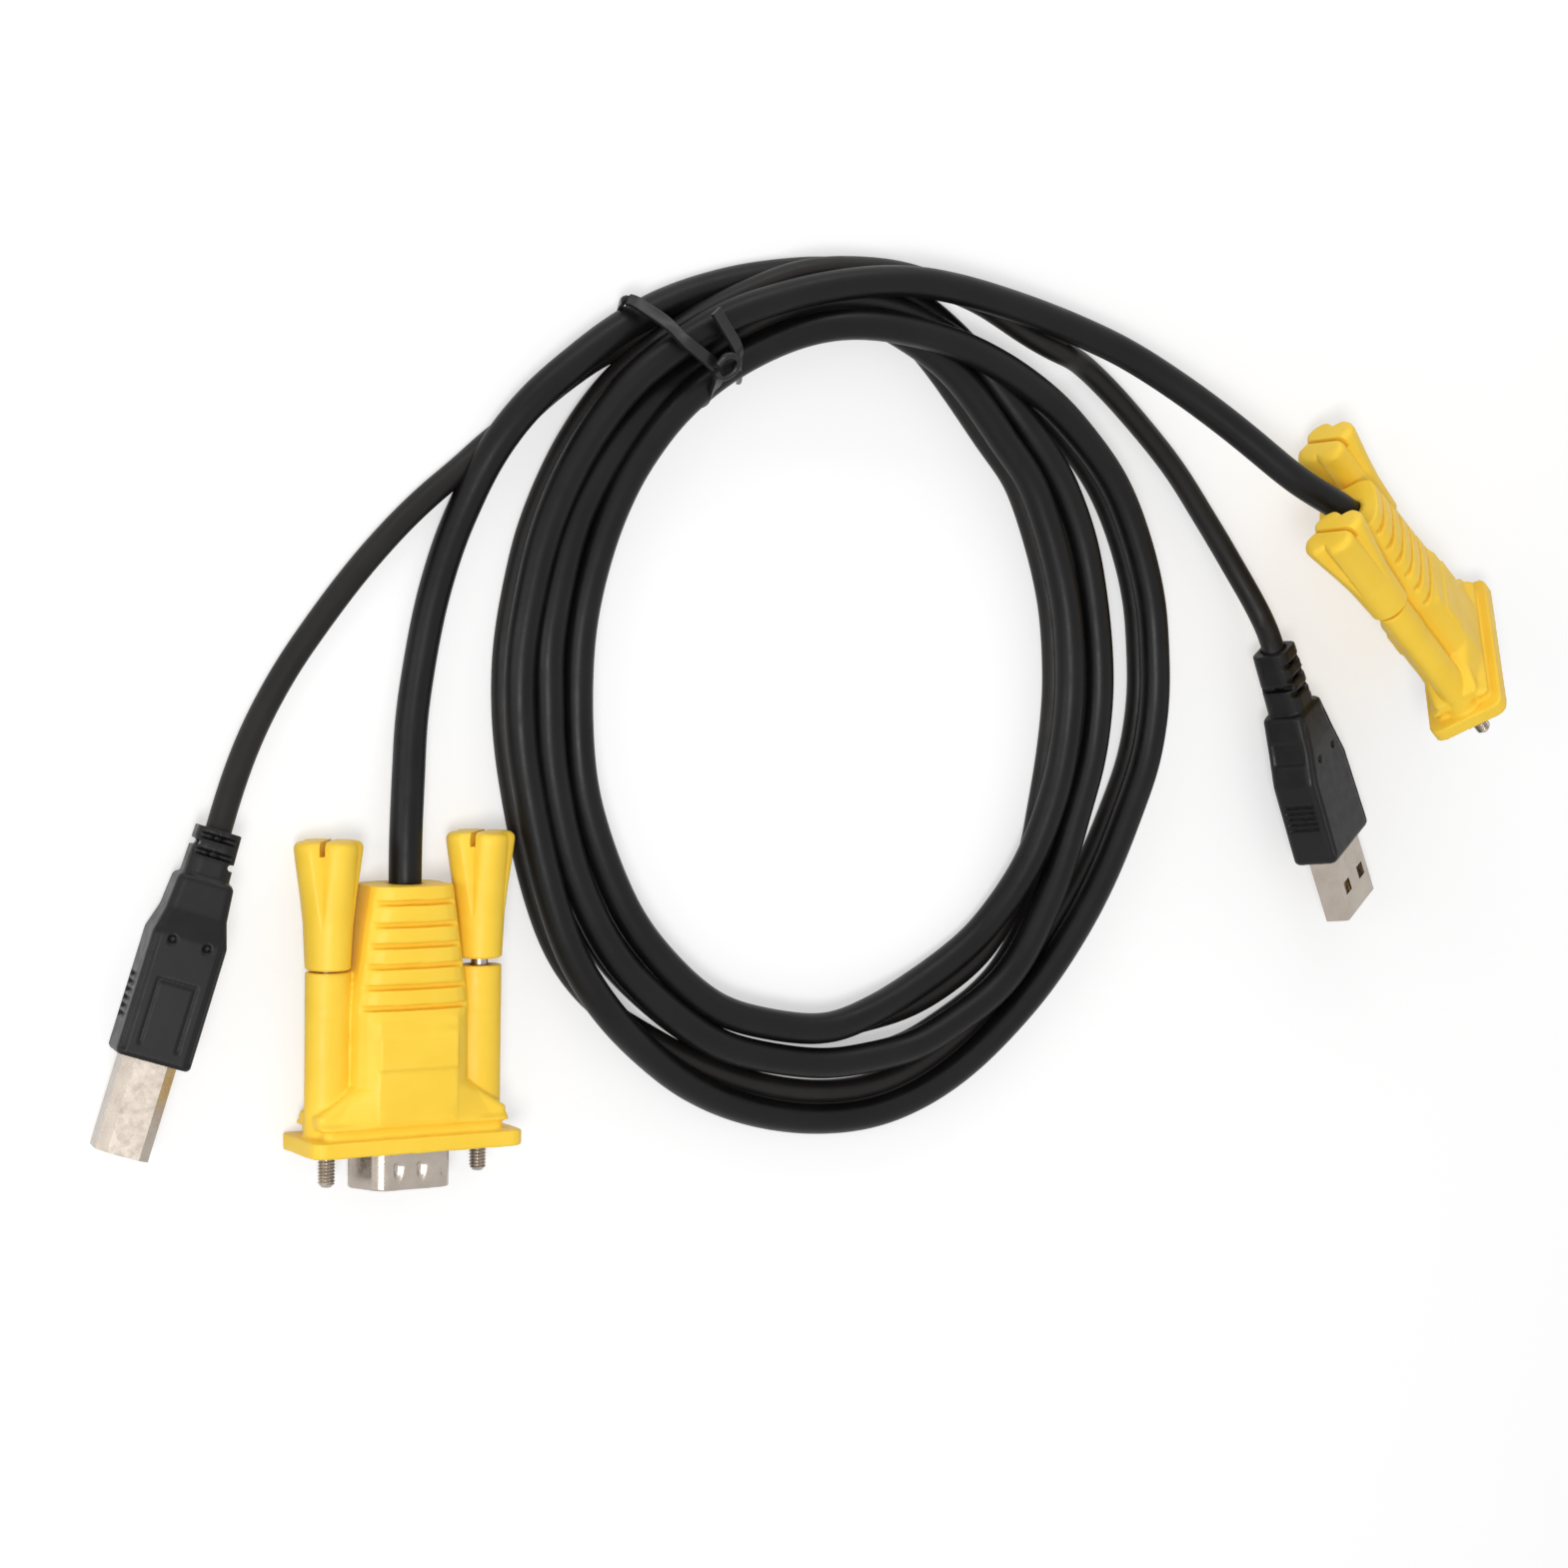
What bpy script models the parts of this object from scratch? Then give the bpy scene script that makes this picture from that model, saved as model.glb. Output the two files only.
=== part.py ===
"""KVM cable: a coiled two-in-one lead with a VGA plug and a USB plug at each end.

All lengths below are millimetres; they become metres where the geometry is made.
Every plug is built in its own axes, with Z toward the mating end, X across the wide
side and the front face of its moulding at Z = 0, and is then laid on the table.
"""
import math

import bmesh
import bpy
from mathutils import Matrix, Vector

MM = 0.001
GAP = 0.3              # clearance between any two pieces
THROUGH = 1.0          # how far a cutter stands out of the material it cuts
CIRCLE_SIDES = 32
SMALL_CIRCLE_SIDES = 20

# Cords: a video core and a USB core moulded side by side
VIDEO_RADIUS = 2.5
USB_RADIUS = 1.95
VIDEO_BORE = VIDEO_RADIUS + GAP
USB_BORE = USB_RADIUS + GAP

# Hood of the VGA plug
FLANGE_HEIGHT = 13.8
FLANGE_DEPTH = 2.4
FLANGE_CORNER = 2.0
HOOD_LENGTH = 40.0
HOOD_HALF_HEIGHT = 5.6
STEP_BACK = 0.8          # how far the hood steps in behind its flange
SLEEVE_SPACING = 25.0
SHOULDER_REACH = 3.0     # how far the hood's shoulder stands past the jackscrew axis
PLATE_REACH = 2.9        # the same for the D-shell's plate
FLANGE_REACH = 4.8       # the same for the flange
SLEEVE_RADIUS = 3.5
SLEEVE_END = 27.2
SCREW_BORE = 1.7
SCREW_RADIUS = 1.35
SCREW_THREAD_OUT = 4.3
GRIP_SLOTS = (37.5, 34.2, 31.1, 28.0, 24.9, 21.8)
GRIP_SLOT_WIDTH = 0.8
GRIP_SLOT_DEPTH = 1.3
LABEL_CENTRE = 15.0
LABEL_LENGTH = 4.8
LABEL_WIDTH = 12.8
LABEL_HEIGHT = 0.15
CHAMBER_WIDTH = 16.4
CHAMBER_HEIGHT = 8.0
CHAMBER_END = 19.0

# Thumbscrews
KNOB_LENGTH = 19.3
KNOB_NECK_RADIUS = 3.5
KNOB_END_RADIUS = 5.0
KNOB_FLUTE = 1.3
KNOB_SQUARENESS = 0.6   # 0 is a round end, 1 a square one
KNOB_BORE_DEPTH = 16.0
KNOB_SLOT_WIDTH = 1.0
KNOB_SLOT_DEPTH = 1.6
KNOB_STAND_OFF = 0.3     # between a knob that is screwed home and its sleeve
LOOSE_KNOB_STAND_OFF = 1.1   # the same for the one that is not
LOOSE_KNOB = "kvm_vga_right_knob"

# D-shaped shell and its plate
PLATE_WIDTH = SLEEVE_SPACING + 2 * PLATE_REACH
PLATE_HEIGHT = 12.3
PLATE_THICKNESS = 0.5
D_WIDTH = 16.3
D_HEIGHT = 8.3
D_SIDE_ANGLE = 10.0
D_CORNER = 2.6
D_LENGTH = 5.9
D_WALL = 0.5
BLOCK_FACE = 0.6
BLOCK_BACK = 6.0
PIN_RADIUS = 0.38
PIN_TIP = 5.2
PIN_PITCH = 2.29
PIN_ROW_SPACING = 1.98

# USB type B plug
B_BODY_WIDTH = 11.2
B_BODY_HEIGHT = 10.6
B_BODY_END = 27.6
B_RELIEF_END = 34.9
B_SHELL_WIDTH = 8.0
B_SHELL_HEIGHT = 7.3
B_SHELL_WALL = 0.4
B_SHELL_OUT = 14.2
B_SHELL_IN = 8.0
B_SHELL_CORNER = 1.6
B_POCKET_WIDTH = 5.8
B_POCKET_HEIGHT = 3.4
B_POCKET_DEPTH = 8.5

# USB type A plug
A_BODY_WIDTH = 16.0
A_BODY_HEIGHT = 8.2
A_BODY_END = 26.7
A_RELIEF_END = 37.9
A_SHELL_WIDTH = 12.0
A_SHELL_HEIGHT = 4.5
A_SHELL_WALL = 0.35
A_SHELL_OUT = 12.0
A_SHELL_IN = 6.0
A_TONGUE_WIDTH = 10.7
A_TONGUE_THICKNESS = 1.6
A_HOLE_SIZE = 2.3

CONTACT_WIDTH = 1.0
CONTACT_THICKNESS = 0.3
A_CONTACT_PLACES = (-3.5, -1.05, 1.05, 3.5)
A_CONTACT_LENGTH = 13.0

# Where each plug lies: x, y, then heading, tilt and roll in degrees
KVM_VGA_PLACE = (-70.9, -50.3, -92.2, 2.0, 0.0)
PC_VGA_PLACE = (129.1, 15.0, -43.2, -4.6, -43.0)
KVM_USB_PLACE = (-110.8, -33.2, -109.3, 0.0, 13.4)
PC_USB_PLACE = (106.8, -16.2, -66.9, -2.6, -25.7)

# Coil: the edges of the three turns as distances from its centre, every 15 degrees from +X
COIL_CENTRE = (6.0, 13.0)
COIL_HEIGHT = 9.3
COIL_INNER = (42.6, 43.6, 45.5, 48.6, 51.4, 55.2, 56.3, 56.3, 53.6, 50.3, 47.4, 45.5,
              44.5, 44.5, 45.4, 47.1, 49.0, 49.7, 49.4, 46.8, 45.3, 44.1, 43.1, 42.7)
COIL_OUTER = (65.2, 65.8, 66.2, 66.1, 67.0, 72.0, 72.6, 72.0, 69.0, 64.5, 62.1, 59.5,
              58.2, 58.1, 60.7, 64.5, 67.2, 69.1, 70.8, 70.2, 67.6, 64.6, 63.2, 64.1)
COIL_CORNER = 2.0
TIE_ANGLE = 112.0
TIE_GROOVE_HALF_ANGLE = 1.4
TIE_GROOVE_DEPTH = 1.9
TIE_RADIUS = 0.75
TIE_TWIST_RADIUS = 1.0
TIE_TAIL_LENGTH = 11.0

# Plan positions and heights that the leads pass through
KVM_VIDEO_LEAD = ((-68.4, 0.5, 4.2), (-67.2, 12.0, 3.1), (-65.3, 23.0, 2.7), (-62.4, 34.5, 2.7),
                  (-57.9, 45.4, 2.7), (-52.0, 57.0, 2.9), (-43.2, 66.4, 3.2), (-37.0, 71.2, 3.2),
                  (-32.2, 73.4, 3.2))
PC_VIDEO_LEAD = ((90.6, 51.4, 14.6), (79.5, 58.6, 12.0), (67.6, 65.4, 9.9), (55.0, 71.2, 8.6),
                 (46.0, 74.3, 8.1), (37.3, 76.4, 7.6))
KVM_USB_LEAD = ((-97.3, 3.5, 4.2), (-93.6, 10.9, 2.8), (-88.5, 19.5, 2.1), (-82.2, 28.1, 2.1),
                (-74.8, 36.8, 2.1), (-67.0, 44.9, 2.1), (-60.9, 52.4, 2.1), (-55.6, 60.6, 2.1),
                (-47.0, 70.2, 2.1))
PC_USB_LEAD = ((90.4, 25.0, 4.6), (87.6, 32.1, 3.0), (80.6, 42.4, 2.1), (72.1, 52.7, 2.1),
               (63.1, 61.2, 2.1), (54.0, 67.4, 2.1), (46.0, 71.6, 2.1), (39.7, 74.2, 2.1))


def clear_scene():
    for leftover in list(bpy.data.objects):
        bpy.data.objects.remove(leftover)


def new_collection(name):
    group = bpy.data.collections.new(name)
    bpy.context.scene.collection.children.link(group)
    return group


def give_material(piece, colour, roughness, metallic=0.0):
    material = bpy.data.materials.new(piece.name)
    material.use_nodes = True
    shader = material.node_tree.nodes["Principled BSDF"]
    shader.inputs["Base Color"].default_value = (*colour, 1.0)
    shader.inputs["Roughness"].default_value = roughness
    shader.inputs["Metallic"].default_value = metallic
    piece.data.materials.append(material)


def mesh_piece(name, shape, group):
    """Turns a bmesh in millimetres into a named object in metres."""
    bmesh.ops.recalc_face_normals(shape, faces=shape.faces)
    bmesh.ops.scale(shape, vec=(MM, MM, MM), verts=shape.verts)
    mesh = bpy.data.meshes.new(name)
    shape.to_mesh(mesh)
    shape.free()
    piece = bpy.data.objects.new(name, mesh)
    group.objects.link(piece)
    return piece


def circle_outline(radius, sides=CIRCLE_SIDES, centre=(0.0, 0.0)):
    steps = [math.tau * i / sides for i in range(sides)]
    return [(centre[0] + radius * math.cos(a), centre[1] + radius * math.sin(a)) for a in steps]


def box_outline(width, height, corner, corner_steps=3):
    """A rectangle with rounded corners, anticlockwise."""
    points = []
    for quarter, (sx, sy) in enumerate(((1, 1), (-1, 1), (-1, -1), (1, -1))):
        for step in range(corner_steps + 1):
            angle = math.radians(90 * quarter + 90 * step / corner_steps)
            x = sx * (width / 2 - corner) + corner * math.cos(angle)
            y = sy * (height / 2 - corner) + corner * math.sin(angle)
            points.append((x, y))
    return points


def d_outline(width, height, corner, corner_steps=4):
    """The D outline of the video shell: the side at +Y is the wide one."""
    lean = height / 2 * math.tan(math.radians(D_SIDE_ANGLE))
    middle = width / 2 - lean
    centres = (
        (middle + lean - corner, height / 2 - corner, -D_SIDE_ANGLE, 90.0),
        (-middle - lean + corner, height / 2 - corner, 90.0, 180.0 + D_SIDE_ANGLE),
        (-middle + lean + corner, -height / 2 + corner, 180.0 + D_SIDE_ANGLE, 270.0),
        (middle - lean - corner, -height / 2 + corner, 270.0, 360.0 - D_SIDE_ANGLE),
    )
    points = []
    for x, y, start, end in centres:
        for step in range(corner_steps + 1):
            angle = math.radians(start + (end - start) * step / corner_steps)
            points.append((x + corner * math.cos(angle), y + corner * math.sin(angle)))
    return points


def prism(name, outlines, z_low, z_high, group):
    """Extrudes one outline, with any further outlines as holes, from z_low to z_high."""
    curve = bpy.data.curves.new(name + " outline", "CURVE")
    curve.dimensions = "2D"
    curve.fill_mode = "BOTH"
    curve.extrude = (z_high - z_low) / 2 * MM
    for outline in outlines:
        spline = curve.splines.new("POLY")
        spline.points.add(len(outline) - 1)
        spline.use_cyclic_u = True
        for point, (x, y) in zip(spline.points, outline):
            point.co = (x * MM, y * MM, 0.0, 1.0)
    shape = curve_to_bmesh(curve)
    bmesh.ops.translate(shape, vec=(0.0, 0.0, (z_low + z_high) / 2 * MM), verts=shape.verts)
    bmesh.ops.scale(shape, vec=(1 / MM, 1 / MM, 1 / MM), verts=shape.verts)
    return mesh_piece(name, shape, group)


def curve_to_bmesh(curve):
    """Bakes a curve into a welded bmesh and removes the curve."""
    holder = bpy.data.objects.new(curve.name, curve)
    bpy.context.scene.collection.objects.link(holder)
    bpy.context.view_layer.update()
    mesh = bpy.data.meshes.new_from_object(holder)
    bpy.data.objects.remove(holder)
    bpy.data.curves.remove(curve)
    shape = bmesh.new()
    shape.from_mesh(mesh)
    bpy.data.meshes.remove(mesh)
    bmesh.ops.remove_doubles(shape, verts=shape.verts, dist=0.000001)
    return shape


def loft(name, rings, group):
    """Skins a row of rings, each a list of (x, y, z), and caps both ends."""
    shape = bmesh.new()
    rows = [[shape.verts.new(point) for point in ring] for ring in rings]
    count = len(rings[0])
    for near, far in zip(rows, rows[1:]):
        for i in range(count):
            j = (i + 1) % count
            shape.faces.new((near[i], near[j], far[j], far[i]))
    shape.faces.new(rows[0])
    shape.faces.new(rows[-1])
    return mesh_piece(name, shape, group)


def box_loft(name, stations, group):
    """Stations are (z, width, height, corner)."""
    rings = []
    for z, width, height, corner in stations:
        rings.append([(x, y, z) for x, y in box_outline(width, height, corner)])
    return loft(name, rings, group)


def rod(name, radius, z_low, z_high, group, centre=(0.0, 0.0), sides=CIRCLE_SIDES):
    shape = bmesh.new()
    middle = Matrix.Translation((centre[0], centre[1], (z_low + z_high) / 2))
    bmesh.ops.create_cone(shape, cap_ends=True, segments=sides, radius1=radius, radius2=radius,
                          depth=z_high - z_low, matrix=middle)
    return mesh_piece(name, shape, group)


def block(name, size, centre, group):
    shape = bmesh.new()
    bmesh.ops.create_cube(shape, size=1.0)
    bmesh.ops.scale(shape, vec=size, verts=shape.verts)
    bmesh.ops.translate(shape, vec=centre, verts=shape.verts)
    return mesh_piece(name, shape, group)


def blocks(name, boxes, group):
    """Several boxes that do not touch, as one tool; each box is (size, centre)."""
    shape = bmesh.new()
    for size, centre in boxes:
        made = bmesh.ops.create_cube(shape, size=1.0)
        bmesh.ops.scale(shape, vec=size, verts=made["verts"])
        bmesh.ops.translate(shape, vec=centre, verts=made["verts"])
    return mesh_piece(name, shape, group)


def rods(name, radius, z_low, z_high, centres, group, sides=SMALL_CIRCLE_SIDES):
    """Several equal rods along Z that do not touch, as one tool."""
    shape = bmesh.new()
    for x, y in centres:
        middle = Matrix.Translation((x, y, (z_low + z_high) / 2))
        bmesh.ops.create_cone(shape, cap_ends=True, segments=sides, radius1=radius,
                              radius2=radius, depth=z_high - z_low, matrix=middle)
    return mesh_piece(name, shape, group)


def combine(piece, tool, operation):
    """Adds or cuts a tool with an exact Boolean; the tool stays hidden."""
    tool.display_type = "WIRE"
    tool.hide_render = True
    step = piece.modifiers.new(tool.name, "BOOLEAN")
    step.operation = operation
    step.solver = "EXACT"
    step.object = tool


def new_frame(name, group, matrix, parent=None):
    frame = bpy.data.objects.new(name, None)
    frame.empty_display_size = 0.01
    group.objects.link(frame)
    frame.parent = parent
    frame.matrix_basis = matrix
    return frame


def plug_matrix(place, height):
    """The matrix of a plug lying at a place, its front centre at the given height."""
    x, y, heading, tilt, roll = place
    heading = math.radians(heading)
    tilt = math.radians(tilt)
    ahead = Vector((math.cos(heading) * math.cos(tilt), math.sin(heading) * math.cos(tilt),
                    math.sin(tilt)))
    across = Vector((-math.sin(heading), math.cos(heading), 0.0))
    face = ahead.cross(across)
    turn = Matrix.Rotation(math.radians(roll), 3, ahead)
    across = turn @ across
    face = turn @ face
    rows = Matrix((across, face, ahead)).transposed().to_4x4()
    return Matrix.Translation((x * MM, y * MM, height * MM)) @ rows


def lay_down(frame, pieces):
    """Lowers or lifts a plug until its lowest corner is on the table."""
    bpy.context.view_layer.update()
    lowest = min(
        (piece.matrix_world @ vertex.co).z for piece in pieces for vertex in piece.data.vertices
    )
    frame.location.z -= lowest
    bpy.context.view_layer.update()


def inside(frame, z):
    """A world point in millimetres on a plug's own axis."""
    return tuple(frame.matrix_world @ Vector((0.0, 0.0, z * MM)) / MM)


def smooth_path(points, spacing):
    """Resamples a path through the points (Catmull-Rom) at about even spacing."""
    padded = [Vector(points[0]) * 2 - Vector(points[1])]
    padded += [Vector(point) for point in points]
    padded.append(Vector(points[-1]) * 2 - Vector(points[-2]))
    fine = []
    for a, b, c, d in zip(padded, padded[1:], padded[2:], padded[3:]):
        for step in range(12):
            t = step / 12
            fine.append(0.5 * ((2 * b) + (c - a) * t + (2 * a - 5 * b + 4 * c - d) * t ** 2
                               + (3 * b - a - 3 * c + d) * t ** 3))
    fine.append(padded[-2])
    lengths = [0.0]
    for near, far in zip(fine, fine[1:]):
        lengths.append(lengths[-1] + (far - near).length)
    count = max(2, round(lengths[-1] / spacing))
    even = []
    place = 0
    for i in range(count + 1):
        wanted = lengths[-1] * i / count
        while place < len(fine) - 2 and lengths[place + 1] < wanted:
            place += 1
        share = (wanted - lengths[place]) / (lengths[place + 1] - lengths[place])
        even.append(fine[place].lerp(fine[place + 1], share))
    return even


def tube(name, path, radius, group, closed=False):
    """A round tube along a path in millimetres, with flat ends."""
    curve = bpy.data.curves.new(name, "CURVE")
    curve.dimensions = "3D"
    curve.bevel_depth = radius * MM
    curve.bevel_resolution = 2
    curve.use_fill_caps = not closed
    spline = curve.splines.new("POLY")
    spline.points.add(len(path) - 1)
    spline.use_cyclic_u = closed
    for point, place in zip(spline.points, path):
        point.co = (place[0] * MM, place[1] * MM, place[2] * MM, 1.0)
    shape = curve_to_bmesh(curve)
    bmesh.ops.scale(shape, vec=(1 / MM, 1 / MM, 1 / MM), verts=shape.verts)
    return mesh_piece(name, shape, group)


def build_hood(name, group, tools):
    shoulder = SLEEVE_SPACING / 2 + SHOULDER_REACH
    step = shoulder - STEP_BACK
    body = []
    for z, half_width, half_height in ((-1.5, step, 5.0), (-3.9, step, 5.0),
                                       (-3.9001, shoulder, 5.5), (-5.8, shoulder, 5.5),
                                       (-10.0, 9.4, HOOD_HALF_HEIGHT),
                                       (-22.0, 9.3, HOOD_HALF_HEIGHT),
                                       (-HOOD_LENGTH, 6.7, HOOD_HALF_HEIGHT)):
        body.append((z, 2 * half_width, 2 * half_height, 2.6 if z < -6 else 1.2))
    hood = box_loft(name, body, group)
    flange = prism(name + " flange",
                   [box_outline(SLEEVE_SPACING + 2 * FLANGE_REACH, FLANGE_HEIGHT, FLANGE_CORNER)],
                   -FLANGE_DEPTH, 0.0, tools)
    combine(hood, flange, "UNION")
    sides = ((SLEEVE_SPACING / 2, 0.0), (-SLEEVE_SPACING / 2, 0.0))
    combine(hood, rods(name + " sleeves", SLEEVE_RADIUS, -SLEEVE_END, -2.0, sides, tools,
                       CIRCLE_SIDES), "UNION")
    labels = []
    slots = []
    for side in (1, -1):
        labels.append(((LABEL_WIDTH, 1.0 + LABEL_HEIGHT, LABEL_LENGTH),
                       (0.0, side * (HOOD_HALF_HEIGHT - 0.5 + LABEL_HEIGHT / 2), -LABEL_CENTRE)))
        for distance in GRIP_SLOTS:
            depth = THROUGH + GRIP_SLOT_DEPTH
            middle = HOOD_HALF_HEIGHT - GRIP_SLOT_DEPTH + depth / 2
            slots.append(((2 * HOOD_LENGTH, depth, GRIP_SLOT_WIDTH),
                          (0.0, side * middle, -distance)))
    combine(hood, blocks(name + " labels", labels, tools), "UNION")
    combine(hood, blocks(name + " grip slots", slots, tools), "DIFFERENCE")
    recess = prism(name + " plate recess",
                   [box_outline(PLATE_WIDTH + 2 * GAP, PLATE_HEIGHT + 2 * GAP, 1.0 + GAP)],
                   -PLATE_THICKNESS - GAP, THROUGH, tools)
    combine(hood, recess, "DIFFERENCE")
    combine(hood, rods(name + " screw bores", SCREW_BORE, -SLEEVE_END - THROUGH, THROUGH, sides,
                       tools), "DIFFERENCE")
    chamber = prism(name + " chamber", [box_outline(CHAMBER_WIDTH, CHAMBER_HEIGHT, 1.2)],
                    -CHAMBER_END, 0.5 * THROUGH, tools)
    combine(hood, chamber, "DIFFERENCE")
    combine(hood, rod(name + " cable bore", VIDEO_BORE, -HOOD_LENGTH - THROUGH, -THROUGH, tools),
            "DIFFERENCE")
    give_material(hood, (0.95, 0.62, 0.045), 0.42)
    return hood


def build_knob(name, group, tools):
    """A flared, four-sided grip with a flute along each side; its neck is at Z = 0."""
    rings = []
    for share in (0.0, 0.25, 0.45, 0.65, 0.85, 1.0):
        flare = share * share * (3 - 2 * share)
        radius = KNOB_NECK_RADIUS + (KNOB_END_RADIUS - KNOB_NECK_RADIUS) * flare
        ring = []
        for step in range(24):
            angle = math.tau * step / 24
            square = (abs(math.cos(angle)) ** 4 + abs(math.sin(angle)) ** 4) ** -0.25
            reach = radius * (1 + (square - 1) * flare * KNOB_SQUARENESS)
            if step % 6 == 0:
                reach -= KNOB_FLUTE * flare
            ring.append((reach * math.cos(angle), reach * math.sin(angle), -KNOB_LENGTH * share))
        rings.append(ring)
    knob = loft(name, rings, group)
    combine(knob, rod(name + " bore", SCREW_BORE, -KNOB_BORE_DEPTH, THROUGH, tools,
                      sides=SMALL_CIRCLE_SIDES), "DIFFERENCE")
    slot_depth = KNOB_SLOT_DEPTH + THROUGH
    combine(knob, block(name + " end slot", (3 * KNOB_END_RADIUS, KNOB_SLOT_WIDTH, slot_depth),
                        (0.0, 0.0, -KNOB_LENGTH + KNOB_SLOT_DEPTH - slot_depth / 2), tools),
            "DIFFERENCE")
    give_material(knob, (0.95, 0.62, 0.045), 0.42)
    return knob


def build_d_shell(name, group, tools):
    holes = [circle_outline(SCREW_BORE, SMALL_CIRCLE_SIDES, (side * SLEEVE_SPACING / 2, 0.0))
             for side in (1, -1)]
    shell = prism(name, [box_outline(PLATE_WIDTH, PLATE_HEIGHT, 1.0)] + holes,
                  -PLATE_THICKNESS, 0.0, group)
    wall = prism(name + " wall", [d_outline(D_WIDTH, D_HEIGHT, D_CORNER)],
                 -PLATE_THICKNESS / 2, D_LENGTH, tools)
    combine(shell, wall, "UNION")
    mouth = prism(name + " mouth",
                  [d_outline(D_WIDTH - 2 * D_WALL, D_HEIGHT - 2 * D_WALL, D_CORNER - D_WALL)],
                  -THROUGH, D_LENGTH + THROUGH, tools)
    combine(shell, mouth, "DIFFERENCE")
    give_material(shell, (0.62, 0.6, 0.57), 0.3, 1.0)
    return shell


def build_pin_block(name, group, tools):
    inset = 2 * (D_WALL + GAP)
    body = prism(name, [d_outline(D_WIDTH - inset, D_HEIGHT - inset, D_CORNER - inset / 2)],
                 -BLOCK_BACK, BLOCK_FACE, group)
    centres = []
    for row in (-1, 0, 1):
        for step in range(5):
            x = (step - 2) * PIN_PITCH + row * PIN_PITCH / 4
            centres.append((x, row * PIN_ROW_SPACING))
    combine(body, rods(name + " pins", PIN_RADIUS, 0.0, PIN_TIP, centres, tools, 10), "UNION")
    give_material(body, (0.03, 0.03, 0.035), 0.5)
    return body


def build_vga_plug(prefix, place, group, tools):
    """A whole VGA plug; returns its frame and its pieces."""
    frame = new_frame(prefix + " vga plug", group, plug_matrix(place, 0.0))
    pieces = [
        build_hood(prefix + "_vga_hood", group, tools),
        build_d_shell(prefix + "_vga_shell", group, tools),
        build_pin_block(prefix + "_vga_pin_block", group, tools),
    ]
    mould_end = CHAMBER_END - 5.0
    mould = prism(prefix + "_vga_inner_mould",
                  [box_outline(CHAMBER_WIDTH - 2 * GAP, CHAMBER_HEIGHT - 2 * GAP, 1.2 - GAP)],
                  -mould_end, -BLOCK_BACK - GAP, group)
    give_material(mould, (0.7, 0.68, 0.62), 0.5)
    clamp = prism(prefix + "_vga_cable_clamp",
                  [circle_outline(CHAMBER_HEIGHT / 2 - GAP), circle_outline(VIDEO_BORE)],
                  -CHAMBER_END + GAP, -mould_end - GAP, group)
    give_material(clamp, (0.6, 0.58, 0.55), 0.35, 1.0)
    pieces += [mould, clamp]
    for piece in tools.objects[:] + pieces:
        if piece.name.startswith(prefix + "_vga") and piece.parent is None:
            piece.parent = frame
    for side, sign in (("left", 1), ("right", -1)):
        if prefix == "kvm":
            sign = -sign
        hinge = new_frame(f"{prefix} vga {side} hinge", group,
                          Matrix.Translation((sign * SLEEVE_SPACING / 2 * MM, 0.0, 0.0)), frame)
        knob = build_knob(f"{prefix}_vga_{side}_knob", group, tools)
        stand_off = LOOSE_KNOB_STAND_OFF if knob.name == LOOSE_KNOB else KNOB_STAND_OFF
        knob.location.z = (-SLEEVE_END - stand_off) * MM
        screw = rod(f"{prefix}_vga_{side}_screw", SCREW_RADIUS,
                    -SLEEVE_END - stand_off - KNOB_BORE_DEPTH + GAP,
                    SCREW_THREAD_OUT + KNOB_STAND_OFF - stand_off, group,
                    sides=SMALL_CIRCLE_SIDES)
        give_material(screw, (0.6, 0.58, 0.55), 0.3, 1.0)
        knob.parent = hinge
        screw.parent = hinge
        for tool in tools.objects:
            if tool.name.startswith(knob.name):
                tool.parent = hinge
                tool.location.z = knob.location.z
        pieces += [knob, screw]
    lay_down(frame, pieces)
    return frame, pieces


def build_overmould(name, stations, relief_slots, shell_outline, shell_depth, chamber, group,
                    tools):
    """A USB overmould: a skinned body with a slotted strain relief, a shell pocket, a chamber
    and a cable bore. The chamber is (width, height, end)."""
    body = box_loft(name, stations, group)
    cuts = []
    for distance, side in relief_slots:
        cuts.append(((3.0, 20.0, 0.9), (side * 3.9, 0.0, -distance)))
        cuts.append(((20.0, 3.0, 0.9), (0.0, 3.9, -distance - 1.2)))
    combine(body, blocks(name + " relief slots", cuts, tools), "DIFFERENCE")
    combine(body, prism(name + " shell pocket", [shell_outline], -shell_depth - GAP, THROUGH,
                        tools), "DIFFERENCE")
    width, height, end = chamber
    combine(body, prism(name + " chamber", [box_outline(width, height, 0.8)], -end,
                        -shell_depth + GAP, tools), "DIFFERENCE")
    combine(body, rod(name + " cable bore", USB_BORE, stations[-1][0] - THROUGH,
                      -end + THROUGH, tools), "DIFFERENCE")
    give_material(body, (0.02, 0.019, 0.018), 0.45)
    return body


def b_shell_outline(inset):
    """The squarish outline of the type B shell with its two bevelled corners, drawn in."""
    half_width = B_SHELL_WIDTH / 2 - inset
    half_height = B_SHELL_HEIGHT / 2 - inset
    corner = B_SHELL_CORNER - inset * (2 - math.sqrt(2))
    return [(half_width, -half_height), (half_width, half_height - corner),
            (half_width - corner, half_height), (-half_width + corner, half_height),
            (-half_width, half_height - corner), (-half_width, -half_height)]


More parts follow.
